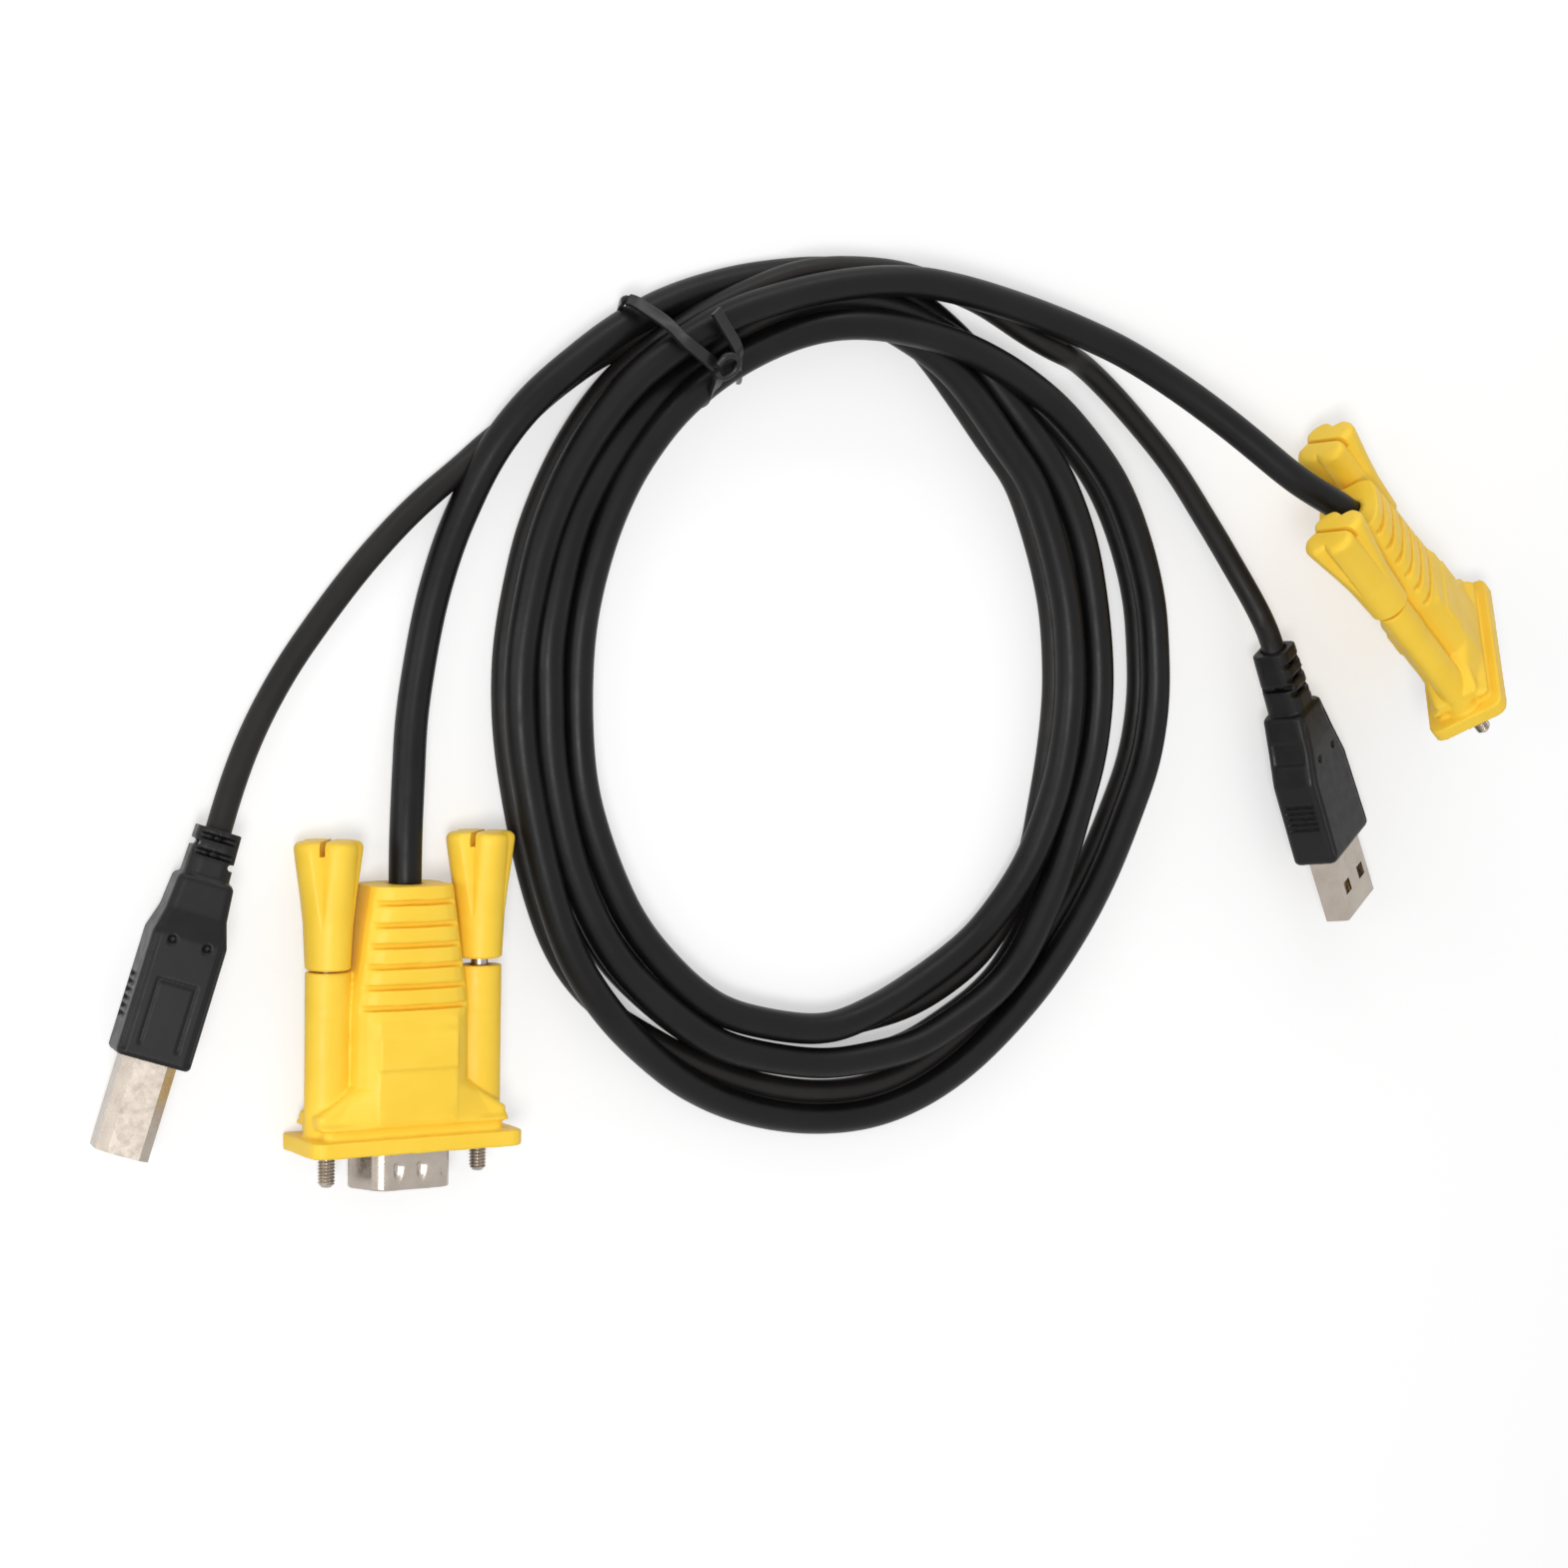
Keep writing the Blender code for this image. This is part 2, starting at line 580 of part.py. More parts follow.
def build_usb_b(prefix, place, group, tools):
    frame = new_frame("kvm usb plug", group, plug_matrix(place, 0.0))
    stations = ((0.0, B_BODY_WIDTH - 0.8, B_BODY_HEIGHT - 0.8, 0.8),
                (-0.5, B_BODY_WIDTH, B_BODY_HEIGHT, 1.1),
                (-18.5, B_BODY_WIDTH, B_BODY_HEIGHT, 1.1),
                (-22.3, B_BODY_WIDTH - 2.0, B_BODY_HEIGHT - 2.0, 1.1),
                (-B_BODY_END + 0.6, 8.4, 8.2, 1.1),
                (-B_BODY_END, 7.6, 7.4, 1.1),
                (-B_BODY_END - 0.01, 7.0, 6.9, 1.8),
                (-B_RELIEF_END, 6.6, 6.5, 1.8))
    chamber_end = 18.0
    body = build_overmould(prefix + "_overmould", stations, ((30.0, 1), (32.4, -1)),
                           b_shell_outline(-GAP), B_SHELL_IN, (7.0, 6.4, chamber_end), group,
                           tools)
    shell = prism(prefix + "_shell", [b_shell_outline(0.0), b_shell_outline(B_SHELL_WALL)],
                  -B_SHELL_IN, B_SHELL_OUT, group)
    give_material(shell, (0.62, 0.6, 0.57), 0.3, 1.0)
    insert = prism(prefix + "_insert", [b_shell_outline(B_SHELL_WALL + GAP)],
                   -B_SHELL_IN + 0.5, B_SHELL_OUT - 0.8, group)
    pocket_floor = B_SHELL_OUT - 0.8 - B_POCKET_DEPTH
    combine(insert, block(prefix + "_insert pocket",
                          (B_POCKET_WIDTH, B_POCKET_HEIGHT, B_POCKET_DEPTH + THROUGH),
                          (0.0, -0.2, pocket_floor + (B_POCKET_DEPTH + THROUGH) / 2), tools),
            "DIFFERENCE")
    give_material(insert, (0.75, 0.73, 0.68), 0.5)
    pieces = [body, shell, insert]
    contact_low = -B_SHELL_IN + 0.7
    contact_high = B_SHELL_OUT - 1.4
    channels = []
    for number, (x, level) in enumerate(((1.25, 1), (-1.25, 1), (-1.25, -1), (1.25, -1)), 1):
        y = -0.2 + level * (B_POCKET_HEIGHT / 2 - CONTACT_THICKNESS / 2)
        contact = block(f"{prefix}_contact_{number}",
                        (CONTACT_WIDTH, CONTACT_THICKNESS, contact_high - contact_low),
                        (x, y, (contact_low + contact_high) / 2), group)
        give_material(contact, (0.8, 0.6, 0.25), 0.3, 1.0)
        pieces.append(contact)
        channels.append(((CONTACT_WIDTH + 2 * GAP, CONTACT_THICKNESS + 2 * GAP, 40.0),
                         (x, y, 0.0)))
    combine(insert, blocks(prefix + "_insert channels", channels, tools), "DIFFERENCE")
    mould = prism(prefix + "_inner_mould", [box_outline(7.0 - 2 * GAP, 6.4 - 2 * GAP, 0.5)],
                  -chamber_end + 2.0, -B_SHELL_IN - GAP, group)
    give_material(mould, (0.7, 0.68, 0.62), 0.5)
    pieces.append(mould)
    for piece in tools.objects[:] + pieces:
        if piece.name.startswith(prefix) and piece.parent is None:
            piece.parent = frame
    lay_down(frame, pieces)
    return frame, pieces, chamber_end - 2.0


def build_usb_a(prefix, place, group, tools):
    frame = new_frame("pc usb plug", group, plug_matrix(place, 0.0))
    stations = ((0.0, A_BODY_WIDTH - 1.0, A_BODY_HEIGHT - 0.8, 0.9),
                (-0.6, A_BODY_WIDTH, A_BODY_HEIGHT, 1.3),
                (-15.0, A_BODY_WIDTH - 1.0, A_BODY_HEIGHT, 1.3),
                (-20.5, A_BODY_WIDTH - 4.4, A_BODY_HEIGHT, 1.3),
                (-A_BODY_END + 0.4, A_BODY_WIDTH - 6.6, A_BODY_HEIGHT - 0.5, 1.3),
                (-A_BODY_END, A_BODY_WIDTH - 7.2, A_BODY_HEIGHT - 1.1, 1.3),
                (-A_BODY_END - 0.01, 7.2, 6.8, 1.8),
                (-A_RELIEF_END, 6.7, 6.4, 1.8))
    chamber_end = 16.0
    body = build_overmould(prefix + "_overmould", stations, ((29.0, 1), (31.6, -1), (34.2, 1)),
                           box_outline(A_SHELL_WIDTH + 2 * GAP, A_SHELL_HEIGHT + 2 * GAP, 0.5),
                           A_SHELL_IN, (10.0, 4.6, chamber_end), group, tools)
    shell = prism(prefix + "_shell",
                  [box_outline(A_SHELL_WIDTH, A_SHELL_HEIGHT, 0.5),
                   box_outline(A_SHELL_WIDTH - 2 * A_SHELL_WALL, A_SHELL_HEIGHT - 2 * A_SHELL_WALL,
                               0.5 - A_SHELL_WALL)], -A_SHELL_IN, A_SHELL_OUT, group)
    windows = []
    for x in (2.9, -2.9):
        for side in (1, -1):
            windows.append(((A_HOLE_SIZE, 2.0, A_HOLE_SIZE),
                            (x, side * A_SHELL_HEIGHT / 2, A_SHELL_OUT - 5.2)))
    combine(shell, blocks(prefix + "_shell windows", windows, tools), "DIFFERENCE")
    give_material(shell, (0.62, 0.6, 0.57), 0.3, 1.0)
    tongue_top = 0.0
    tongue_low = tongue_top - A_TONGUE_THICKNESS
    tongue = block(prefix + "_tongue", (A_TONGUE_WIDTH, A_TONGUE_THICKNESS, A_SHELL_OUT + 5.0),
                   (0.0, (tongue_top + tongue_low) / 2, A_SHELL_OUT - 0.5 - (A_SHELL_OUT + 5.0) / 2),
                   group)
    give_material(tongue, (0.75, 0.73, 0.68), 0.5)
    pieces = [body, shell, tongue]
    channels = []
    for number, x in enumerate(A_CONTACT_PLACES, 1):
        contact = block(f"{prefix}_contact_{number}",
                        (CONTACT_WIDTH, CONTACT_THICKNESS, A_CONTACT_LENGTH),
                        (x, tongue_top + CONTACT_THICKNESS / 2,
                         A_SHELL_OUT - 1.3 - A_CONTACT_LENGTH / 2), group)
        give_material(contact, (0.8, 0.6, 0.25), 0.3, 1.0)
        pieces.append(contact)
        channels.append(((CONTACT_WIDTH + 2 * GAP, 2 * GAP, 40.0), (x, tongue_top, 0.0)))
    combine(tongue, blocks(prefix + "_tongue channels", channels, tools), "DIFFERENCE")
    mould = prism(prefix + "_inner_mould", [box_outline(10.0 - 2 * GAP, 4.6 - 2 * GAP, 0.5)],
                  -chamber_end + 2.0, -A_SHELL_IN - GAP, group)
    give_material(mould, (0.7, 0.68, 0.62), 0.5)
    pieces.append(mould)
    for piece in tools.objects[:] + pieces:
        if piece.name.startswith(prefix) and piece.parent is None:
            piece.parent = frame
    lay_down(frame, pieces)
    return frame, pieces, chamber_end - 2.0


def coil_edges(angle):
    """Inner and outer edge of the coil at an angle in degrees, from the 15 degree lists."""
    place = (angle % 360.0) / 15.0
    before = int(place) % 24
    share = place - int(place)
    after = (before + 1) % 24
    inner = COIL_INNER[before] * (1 - share) + COIL_INNER[after] * share
    outer = COIL_OUTER[before] * (1 - share) + COIL_OUTER[after] * share
    return inner, outer


def coil_section(angle, drawn_in):
    """The section of the coil at an angle, as world points, drawn in on all sides."""
    inner, outer = coil_edges(angle)
    turn = math.radians(angle)
    middle = (inner + outer) / 2
    ring = []
    for across, up in box_outline(outer - inner - 2 * drawn_in, COIL_HEIGHT - 2 * drawn_in,
                                  COIL_CORNER):
        reach = middle + across
        ring.append((COIL_CENTRE[0] + reach * math.cos(turn),
                     COIL_CENTRE[1] + reach * math.sin(turn), COIL_HEIGHT / 2 + up))
    return ring


def build_coil(group):
    """The three turns as one ring, with a narrow groove where the tie holds it."""
    stations = [(float(angle), 0.0) for angle in range(0, 360, 5)]
    groove = TIE_GROOVE_HALF_ANGLE
    stations = [entry for entry in stations if abs(entry[0] - TIE_ANGLE) > groove + 0.8]
    for offset, depth in ((-groove - 0.05, 0.0), (-groove, TIE_GROOVE_DEPTH),
                          (groove, TIE_GROOVE_DEPTH), (groove + 0.05, 0.0)):
        stations.append((TIE_ANGLE + offset, depth))
    stations.sort()
    shape = bmesh.new()
    rows = [[shape.verts.new(point) for point in coil_section(*station)] for station in stations]
    count = len(rows[0])
    for near, far in zip(rows, rows[1:] + rows[:1]):
        for i in range(count):
            j = (i + 1) % count
            shape.faces.new((near[i], near[j], far[j], far[i]))
    coil = mesh_piece("cable_coil", shape, group)
    give_material(coil, (0.02, 0.019, 0.018), 0.5)
    return coil


def build_tie(group):
    """The wire tie: once round the coil in its groove, then twisted and left as two tails."""
    turn = math.radians(TIE_ANGLE)
    outward = Vector((math.cos(turn), math.sin(turn), 0.0))
    inner, outer = coil_edges(TIE_ANGLE)
    inset = TIE_GROOVE_DEPTH - GAP - TIE_RADIUS - 0.1
    half_width = (outer - inner) / 2 - inset
    half_height = COIL_HEIGHT / 2 - inset
    centre = Vector((*COIL_CENTRE, 0.0)) + outward * (inner + outer) / 2
    centre.z = COIL_HEIGHT / 2
    path = []
    for across, up in box_outline(2 * half_width, 2 * half_height, 2.2, 4):
        path.append(centre + outward * across + Vector((0.0, 0.0, up)))
    start = next(i for i, point in enumerate(path)
                 if (point - centre).dot(outward) < -half_width + 0.1 and point.z < centre.z)
    path = path[start:] + path[:start]
    twist_start = centre - outward * (half_width + 2.6)
    side = Vector((-outward.y, outward.x, 0.0))
    tails = []
    for phase in (math.pi / 2, -math.pi / 2):
        tail = []
        for step in range(13):
            share = step / 12
            angle = phase + share * math.tau * 1.5
            offset = side * math.cos(angle) + Vector((0.0, 0.0, math.sin(angle)))
            tail.append(twist_start - outward * TIE_TAIL_LENGTH * share
                        + offset * TIE_TWIST_RADIUS * (1 + 0.5 * share))
        tails.append(tail)
    whole = list(reversed(tails[1])) + path + tails[0]
    tie = tube("twist_tie", whole, TIE_RADIUS, group)
    give_material(tie, (0.02, 0.02, 0.02), 0.4)
    return tie


def build_leads(frames, cable_ends, group):
    leads = (
        ("kvm_vga_lead", "kvm_vga", HOOD_LENGTH, KVM_VIDEO_LEAD, VIDEO_RADIUS),
        ("pc_vga_lead", "pc_vga", HOOD_LENGTH, PC_VIDEO_LEAD, VIDEO_RADIUS),
        ("kvm_usb_lead", "kvm_usb", B_RELIEF_END, KVM_USB_LEAD, USB_RADIUS),
        ("pc_usb_lead", "pc_usb", A_RELIEF_END, PC_USB_LEAD, USB_RADIUS),
    )
    for name, plug, bore_end, points, radius in leads:
        frame = frames[plug]
        start = -cable_ends[plug] - GAP
        path = [inside(frame, start), inside(frame, (start - bore_end) / 2),
                inside(frame, -bore_end), *points]
        lead = tube(name, smooth_path(path, 5.0), radius, group)
        give_material(lead, (0.02, 0.019, 0.018), 0.5)


def centre_on_plugs(pieces, group):
    """Moves everything so that the plugs and the tie are centred on the origin."""
    bpy.context.view_layer.update()
    corners = []
    for piece in pieces:
        shown = piece.evaluated_get(bpy.context.evaluated_depsgraph_get())
        corners += [piece.matrix_world @ vertex.co for vertex in shown.data.vertices]
    middle_x = (min(c.x for c in corners) + max(c.x for c in corners)) / 2
    middle_y = (min(c.y for c in corners) + max(c.y for c in corners)) / 2
    everything = new_frame("kvm cable frame", group, Matrix.Identity(4))
    for piece in bpy.data.objects:
        if piece.parent is None and piece != everything:
            piece.parent = everything
    everything.location = (-middle_x, -middle_y, 0.0)


def main():
    clear_scene()
    group = new_collection("kvm cable")
    tools = new_collection("kvm cable tools")
    kvm_vga, kvm_vga_pieces = build_vga_plug("kvm", KVM_VGA_PLACE, group, tools)
    pc_vga, pc_vga_pieces = build_vga_plug("pc", PC_VGA_PLACE, group, tools)
    kvm_usb, kvm_usb_pieces, kvm_usb_end = build_usb_b("kvm_usb_b", KVM_USB_PLACE, group, tools)
    pc_usb, pc_usb_pieces, pc_usb_end = build_usb_a("pc_usb_a", PC_USB_PLACE, group, tools)
    build_coil(group)
    tie = build_tie(group)
    frames = {"kvm_vga": kvm_vga, "pc_vga": pc_vga, "kvm_usb": kvm_usb, "pc_usb": pc_usb}
    vga_end = CHAMBER_END - 5.0
    cable_ends = {"kvm_vga": vga_end, "pc_vga": vga_end, "kvm_usb": kvm_usb_end,
                  "pc_usb": pc_usb_end}
    build_leads(frames, cable_ends, group)
    centre_on_plugs(kvm_vga_pieces + pc_vga_pieces + kvm_usb_pieces + pc_usb_pieces + [tie], group)


main()
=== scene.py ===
"""Looks of a video and USB lead for a keyboard, video and mouse switch.

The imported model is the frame. Both cores are laid along one route, the plugs get their moulded detail,
and every piece has a procedural material. Lengths in the constants are millimetres.
"""

import math

import bmesh
import bpy
import numpy as np
from mathutils import Matrix, Vector

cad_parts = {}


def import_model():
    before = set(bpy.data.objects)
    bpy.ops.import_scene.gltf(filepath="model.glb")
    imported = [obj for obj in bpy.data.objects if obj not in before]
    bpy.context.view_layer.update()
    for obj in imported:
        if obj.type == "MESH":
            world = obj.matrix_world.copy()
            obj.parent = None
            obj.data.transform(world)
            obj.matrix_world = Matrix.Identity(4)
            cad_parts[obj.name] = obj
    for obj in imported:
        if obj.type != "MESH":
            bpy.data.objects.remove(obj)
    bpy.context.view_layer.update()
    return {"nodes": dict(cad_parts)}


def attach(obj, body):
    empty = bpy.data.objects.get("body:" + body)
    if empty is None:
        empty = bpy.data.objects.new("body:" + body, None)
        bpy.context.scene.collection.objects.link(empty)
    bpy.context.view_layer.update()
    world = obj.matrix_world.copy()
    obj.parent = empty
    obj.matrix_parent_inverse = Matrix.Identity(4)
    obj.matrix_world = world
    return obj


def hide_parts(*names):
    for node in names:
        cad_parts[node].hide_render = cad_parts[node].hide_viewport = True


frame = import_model()

MM = 0.001

# Points of a mesh that are closer than this, in metres, are one
SAME_POINT = 0.000002

# Where the part's own centring puts the working origin
SHIFT = np.array([-10.188, -10.975, 0.0])

# Cores
VIDEO_RADIUS = 2.5
USB_RADIUS = 1.95
CORE_SPACING = VIDEO_RADIUS + USB_RADIUS
CORE_SIDES = 28
CORE_STEP = 1.1 * MM

# Web of jacket between the cores
WEB_RADIUS = 0.75
WEB_SIDES = 10
WEB_STEP = 1.5 * MM

# Curve points for each point of the route
ROUTE_STEPS = 12

# Route of the video core: x, y, height, and how far the USB core leans outward from below it
KVM_LEAD = (
    (-66.9, 14.0, 3, 90), (-65.1, 23.0, 2.6, 90), (-63.0, 32.0, 2.6, 90),
    (-59.9, 40.9, 2.6, 70), (-57.7, 45.7, 2.9, 50), (-55.5, 50.6, 3.6, 30), (-52.8, 55.4, 4.6, 2),
    (-49.6, 59.6, 5.4, -22), (-45.3, 63.8, 5.9, -27), (-40.8, 67.2, 6.2, -30), (-36.1, 70.5, 6, -35),
    (-29.7, 74.0, 5, -50),
)
FIRST_TURN = (
    (-23.1, 76.7, 3.8, -68), (-15.9, 78.8, 2.9, -80), (-9.0, 80.3, 2.6, -82), (-2.0, 81.2, 2.6, -82),
    (5.9, 81.7, 2.6, -82), (13.4, 81.0, 2.6, -82), (19.9, 78.5, 2.6, -82), (26.3, 74.7, 2.6, -75),
    (32.1, 69.9, 3.2, -50), (37.6, 63.3, 4.6, -28), (41.6, 58.0, 5.7, -14), (45.4, 53.1, 6.3, -8),
    (48.9, 48.2, 6.45, -5), (53.4, 38.2, 6.45, -4), (55.7, 28.2, 6.45, -4), (56.8, 19.8, 6.45, -4),
    (57.0, 11.5, 6.45, -4), (55.6, 1.5, 6.45, -2), (52.9, -6.7, 6.45, 0), (50.0, -15.3, 6.45, 4),
    (46.2, -23.4, 6.45, 8), (41.3, -31.4, 6.45, 10), (36.0, -36.3, 6.45, 10), (29.5, -39.9, 6.45, 10),
    (21.9, -43.4, 6.45, 10), (14.2, -44.6, 6.45, 10), (2.9, -44.9, 6.45, 10), (-12.0, -41.5, 6.45, 6),
    (-19.2, -37.9, 6.45, 3), (-26.4, -32.3, 6.45, 2), (-33.9, -24.8, 6.45, 0),
    (-39.5, -15.0, 6.45, 0), (-42.9, -5.4, 6.6, 0), (-45.4, 7.1, 6.9, 0), (-45.8, 16.4, 7, 0),
    (-45.6, 25.5, 6.9, 0), (-42.7, 37.6, 6.5, -5), (-40.5, 43.6, 6.2, -8), (-37.0, 49.6, 5.8, -15),
    (-32.7, 55.7, 5.7, -15), (-26.9, 61.4, 5, 0),
)
SECOND_TURN = (
    (-19.3, 66.1, 3.9, 30), (-10.8, 69.4, 3.2, 60), (-2.6, 72.0, 3.1, 75), (5.3, 74.4, 3.6, 70),
    (13.2, 74.6, 4.6, 50), (17.1, 73.0, 5.1, 38), (21.2, 70.6, 5.7, 20), (26.4, 67.3, 6.2, 3),
    (31.9, 61.8, 6.4, -5), (38.8, 53.2, 6.45, -5), (43.0, 48.3, 6.45, -4), (47.2, 38.4, 6.45, -4),
    (50.1, 28.4, 6.45, -4), (51.1, 20.1, 6.45, -4), (51.2, 11.7, 6.45, -3), (49.8, 1.8, 6.45, 0),
    (47.4, -6.4, 6.3, 10), (43.1, -16.3, 5.4, 35), (35.7, -26.0, 4, 58), (29.4, -30.5, 3.8, 64),
    (21.7, -34.4, 4.2, 55), (12.7, -37.5, 5.8, 28), (2.9, -39.3, 6.4, 12), (-12.0, -36.0, 6.45, 4),
    (-19.2, -32.1, 6.45, 2), (-26.2, -25.5, 6.45, 0), (-30.4, -20.4, 6.45, 0),
    (-33.4, -15.4, 6.45, 0), (-37.4, -5.8, 6.45, 0), (-39.9, 3.7, 6.45, -2), (-40.6, 16.1, 6.45, -4),
    (-39.7, 28.3, 6.45, -4), (-36.2, 40.5, 6.45, -4), (-31.8, 49.6, 6.45, -6), (-28.6, 54.1, 6.5, -4),
    (-24.9, 58.7, 6.8, 0), (-19.9, 63.2, 7.3, 15),
)
THIRD_TURN = (
    (-13.5, 67.4, 7.8, 35), (-6.6, 70.5, 8, 50), (-1.6, 72.3, 8.8, 60), (4.4, 73.4, 9.4, 65),
    (10.2, 73.4, 9.8, 60), (17.5, 72.5, 9.6, 45), (27.4, 70.2, 8.8, 25), (36.7, 66.5, 8, 5),
    (44.9, 61.9, 7.2, -5), (50.8, 57.3, 6.8, -7), (59.4, 48.0, 6.45, -8), (64.4, 37.9, 6.45, -5),
    (67.5, 27.8, 6.45, -4), (68.4, 19.4, 6.45, -4), (68.6, 10.9, 6.45, -4), (66.9, 0.9, 6.45, -5),
    (63.5, -7.4, 6.45, -6), (58.8, -17.3, 6.4, -10), (52.7, -27.0, 6.2, -20), (43.9, -37.9, 5.4, -36),
    (31.3, -48.7, 4, -60), (18.3, -54.3, 3, -76), (5.1, -54.9, 2.7, -80), (-8.1, -52.0, 2.9, -76),
    (-19.5, -46.7, 3.6, -58), (-29.2, -39.2, 5, -30), (-36.1, -32.2, 6.2, -6),
    (-41.6, -23.9, 6.45, 5), (-45.1, -14.6, 6.45, 8), (-47.5, -5.1, 6.45, 8), (-49.8, 7.3, 6.45, 7),
    (-50.4, 16.5, 6.45, 7), (-49.8, 25.7, 6.45, 7), (-47.1, 37.7, 6.45, 8), (-45.1, 43.7, 6.5, 8),
    (-42.3, 49.7, 6.6, 8), (-38.7, 55.8, 6.9, 10), (-33.2, 62.9, 7.7, 12), (-28.0, 67.6, 8.6, 12),
)
PC_LEAD = (
    (-21.9, 71.5, 9.4, 12), (-17.2, 74.0, 10.1, 14), (-12.6, 75.8, 10.4, 20),
    (-7.7, 77.1, 10.5, 28.5), (-3.4, 78.2, 10.5, 36), (2.7, 79.3, 10.4, 38), (10.2, 80.1, 10.2, 28),
    (17.8, 80.2, 9.9, 19), (26.0, 79.2, 9.4, 6), (35.1, 77.2, 8.8, -6), (43.3, 75.0, 8.2, -38),
    (50.3, 72.8, 8, -70), (59.2, 69.4, 8.3, -80), (66.5, 65.4, 9.5, -85), (73.5, 60.8, 11.2, -85),
    (80.2, 55.7, 13.4, -85), (86.8, 50.1, 15.8, -85), (90.2, 47.3, 17, -85),
)

# The least height of the USB core above the floor
FLOOR_GAP = 0.03

# Where the cores part from each other, in points from the route's ends
KVM_PARTED = 5
PC_PARTED = 6

# The USB core's own leads, plug end first
KVM_USB_LEAD = (
    (-97.7, 2.2, 4.4), (-95.8, 6.5, 3.6), (-93.6, 10.9, 2.8), (-91.2, 15.2, 2.3), (-88.5, 19.5, 2.0),
    (-85.6, 23.8, 2.0), (-82.2, 28.1, 2.0), (-78.6, 32.5, 2.0), (-74.8, 36.8, 2.0), (-70.5, 41.2, 2.0),
    (-65.8, 45.5, 2.0), (-60.2, 49.9, 2.0),
)
PC_USB_LEAD = (
    (93.1, 21.6, 5.3), (90.6, 26.8, 4.2), (87.6, 32.1, 3.0), (84.3, 37.3, 2.4), (80.6, 42.4, 2.1),
    (76.7, 47.6, 2.1), (72.1, 52.7, 2.1), (63.1, 61.2, 2.3), (54.9, 67.4, 3.0),
)

# Where the PC lead bends into its hood
PC_BEND = (97.1, 43.6, 18.0)

# Plug frames in the frame's own millimetres: origin at the front face, then the directions across
# and toward the socket
KVM_VGA = ((-81.088, -61.275, 6.993), (0.99926, -0.03839, 0.0), (-0.03836, -0.99865, 0.0349))
PC_VGA = ((118.912, 4.025, 14.515), (0.46077, 0.57058, -0.6798), (0.72662, -0.68234, -0.0802))
KVM_USB = ((-120.988, -44.175, 6.199), (0.91811, -0.32152, 0.23175), (-0.33051, -0.9438, 0.0))
PC_USB = ((96.612, -27.175, 6.691), (0.82111, 0.37162, -0.43321), (0.39193, -0.91887, -0.04536))
HOOD_LENGTH = 40.0
SLEEVE_OFFSET = 12.5
SLEEVE_END = 27.2
B_RELIEF_END = 34.9
A_RELIEF_END = 37.9

# Voxels of the softened pieces, and the share of the hoods' faces that is kept
HOOD_VOXEL = 0.25
HOOD_KEPT = 0.62
SHELL_VOXEL = 0.2
OVERMOULD_VOXEL = 0.24


# Paths


def world(points):
    """Working millimetres to metres in the frame."""
    return (np.array(points, float)[:, :3] + SHIFT) * MM


def smooth(points, steps=ROUTE_STEPS):
    """A curve through all points, with every column carried along."""
    rows = np.array(points, float)
    rows = np.vstack([2 * rows[0] - rows[1], rows, 2 * rows[-1] - rows[-2]])
    share = (np.arange(steps) / steps)[:, None]
    out = []
    for a, b, c, d in zip(rows, rows[1:], rows[2:], rows[3:]):
        out.append(0.5 * (2 * b + (c - a) * share + (2 * a - 5 * b + 4 * c - d) * share ** 2
                          + (3 * b - a - 3 * c + d) * share ** 3))
    out.append(rows[-2][None, :])
    return np.vstack(out)


def spaced(path, step):
    """The path again, with its points an even distance apart."""
    length = np.concatenate([[0.0], np.cumsum(np.linalg.norm(np.diff(path[:, :3], axis=0), axis=1))])
    count = max(2, round(length[-1] / step) + 1)
    marks = np.linspace(0.0, length[-1], count)
    return np.stack([np.interp(marks, length, column) for column in path.T], 1)


def relaxed(path, rounds):
    """Takes small kinks out of a path and leaves its ends."""
    path = path.copy()
    for _ in range(rounds):
        path[1:-1] = 0.5 * path[1:-1] + 0.25 * (path[:-2] + path[2:])
    return path


def plug_matrix(spec):
    """Plug axes to the frame: X across the plug, Y out of its broad face, Z toward the socket."""
    origin, across, forward = (np.array(row, float) for row in spec)
    forward /= np.linalg.norm(forward)
    across -= forward * (across @ forward)
    across /= np.linalg.norm(across)
    up = np.cross(forward, across)
    matrix = Matrix.Identity(4)
    for row in range(3):
        matrix[row][0] = across[row] * MM
        matrix[row][1] = up[row] * MM
        matrix[row][2] = forward[row] * MM
        matrix[row][3] = origin[row] * MM
    return matrix


PLUGS = {
    "kvm_vga": plug_matrix(KVM_VGA),
    "pc_vga": plug_matrix(PC_VGA),
    "kvm_usb_b": plug_matrix(KVM_USB),
    "pc_usb_a": plug_matrix(PC_USB),
}


def in_plug(plug, x, y, z):
    """A point in plug millimetres as a point of the frame in metres."""
    return np.array(PLUGS[plug] @ Vector((x, y, z)))


# Materials


